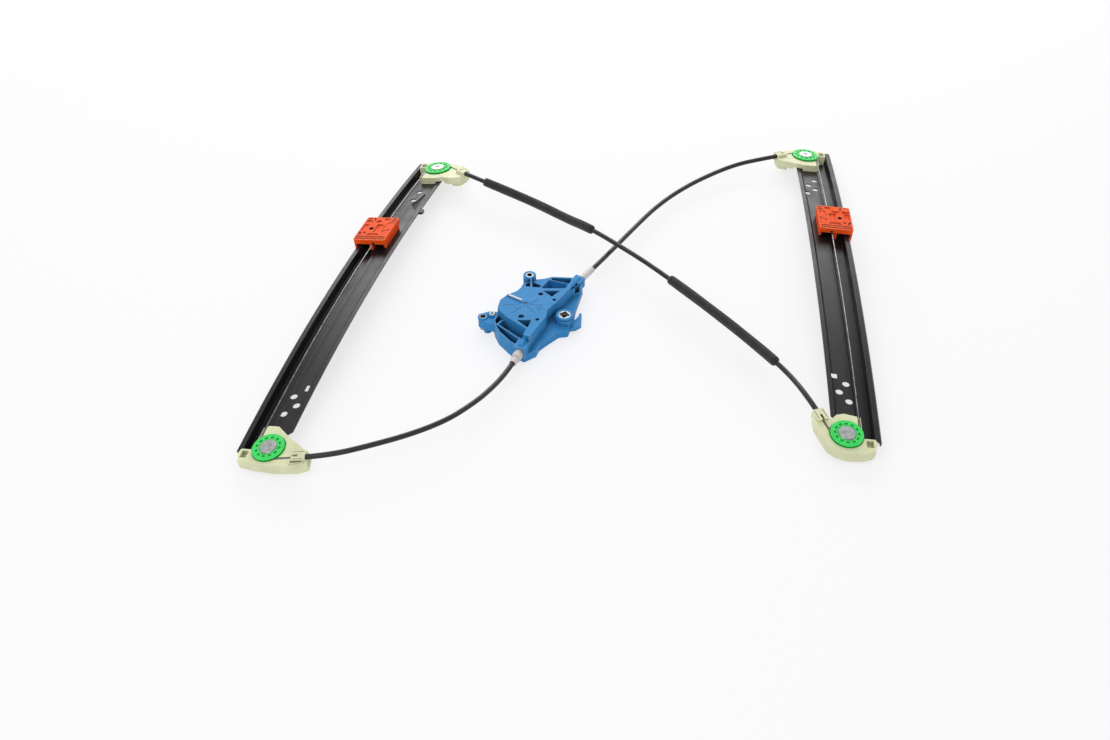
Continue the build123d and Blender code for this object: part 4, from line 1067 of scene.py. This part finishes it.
class REGULATOR_OT_stage(bpy.types.Operator):
    """Makes the camera, the soft lamps and the white paper floor"""
    bl_idname = "regulator.stage"
    bl_label = "Stage"

    def execute(self, context):
        camera = bpy.data.cameras.new("camera")
        camera.lens, camera.sensor_width = CAMERA_LENS, CAMERA_SENSOR
        camera.clip_start, camera.clip_end = 0.02, 50.0
        holder = linked("camera", camera)
        holder.location = CAMERA_AT
        holder.rotation_euler = (radians(90 - CAMERA_DOWN), 0, 0)
        context.scene.camera = holder
        context.scene.view_settings.view_transform = "Standard"
        white_world()
        add_lamp("back_softbox", (-0.05, 2.0, 1.15), (0.0, 0.05, 0.0), 2.2, 1.3, 27)
        add_lamp("front_fill", (-0.7, -1.3, 1.6), (0.0, 0.0, 0.0), 1.2, 1.2, 8)
        mesh = bpy.data.meshes.new("paper_floor")
        corners = [(x * FLOOR_HALF, y * FLOOR_HALF, 0) for x, y in ((-1, -1), (1, -1), (1, 1), (-1, 1))]
        mesh.from_pydata(corners, [], [(0, 1, 2, 3)])
        mesh.materials.append(paper_floor())
        linked("paper_floor", mesh)
        return {"FINISHED"}


class REGULATOR_PT_panel(bpy.types.Panel):
    """Lists the operators that dress the regulator"""
    bl_label = "Cable window regulator"
    bl_idname = "REGULATOR_PT_panel"
    bl_space_type = "VIEW_3D"
    bl_region_type = "UI"
    bl_category = "Regulator"

    def draw(self, context):
        for operator in OPERATORS:
            self.layout.operator(operator.bl_idname)
        for group in (context.scene.regulator_sizes, context.scene.regulator_colours):
            for name in group.__annotations__:
                self.layout.prop(group, name)


OPERATORS = (REGULATOR_OT_stage, REGULATOR_OT_rails, REGULATOR_OT_brackets, REGULATOR_OT_pulleys,
             REGULATOR_OT_carriers, REGULATOR_OT_drum, REGULATOR_OT_wires, REGULATOR_OT_conduits,
             REGULATOR_OT_sleeves)
CLASSES = (RegulatorSizes, RegulatorColours, *OPERATORS, REGULATOR_PT_panel)


def register():
    for cls in CLASSES:
        bpy.utils.register_class(cls)
    bpy.types.Scene.regulator_sizes = bpy.props.PointerProperty(type=RegulatorSizes)
    bpy.types.Scene.regulator_colours = bpy.props.PointerProperty(type=RegulatorColours)


def unregister():
    del bpy.types.Scene.regulator_sizes
    del bpy.types.Scene.regulator_colours
    for cls in reversed(CLASSES):
        bpy.utils.unregister_class(cls)


def main():
    register()
    for operator in OPERATORS:
        group, name = operator.bl_idname.split(".")
        getattr(getattr(bpy.ops, group), name)()


if __name__ == "__main__":
    main()
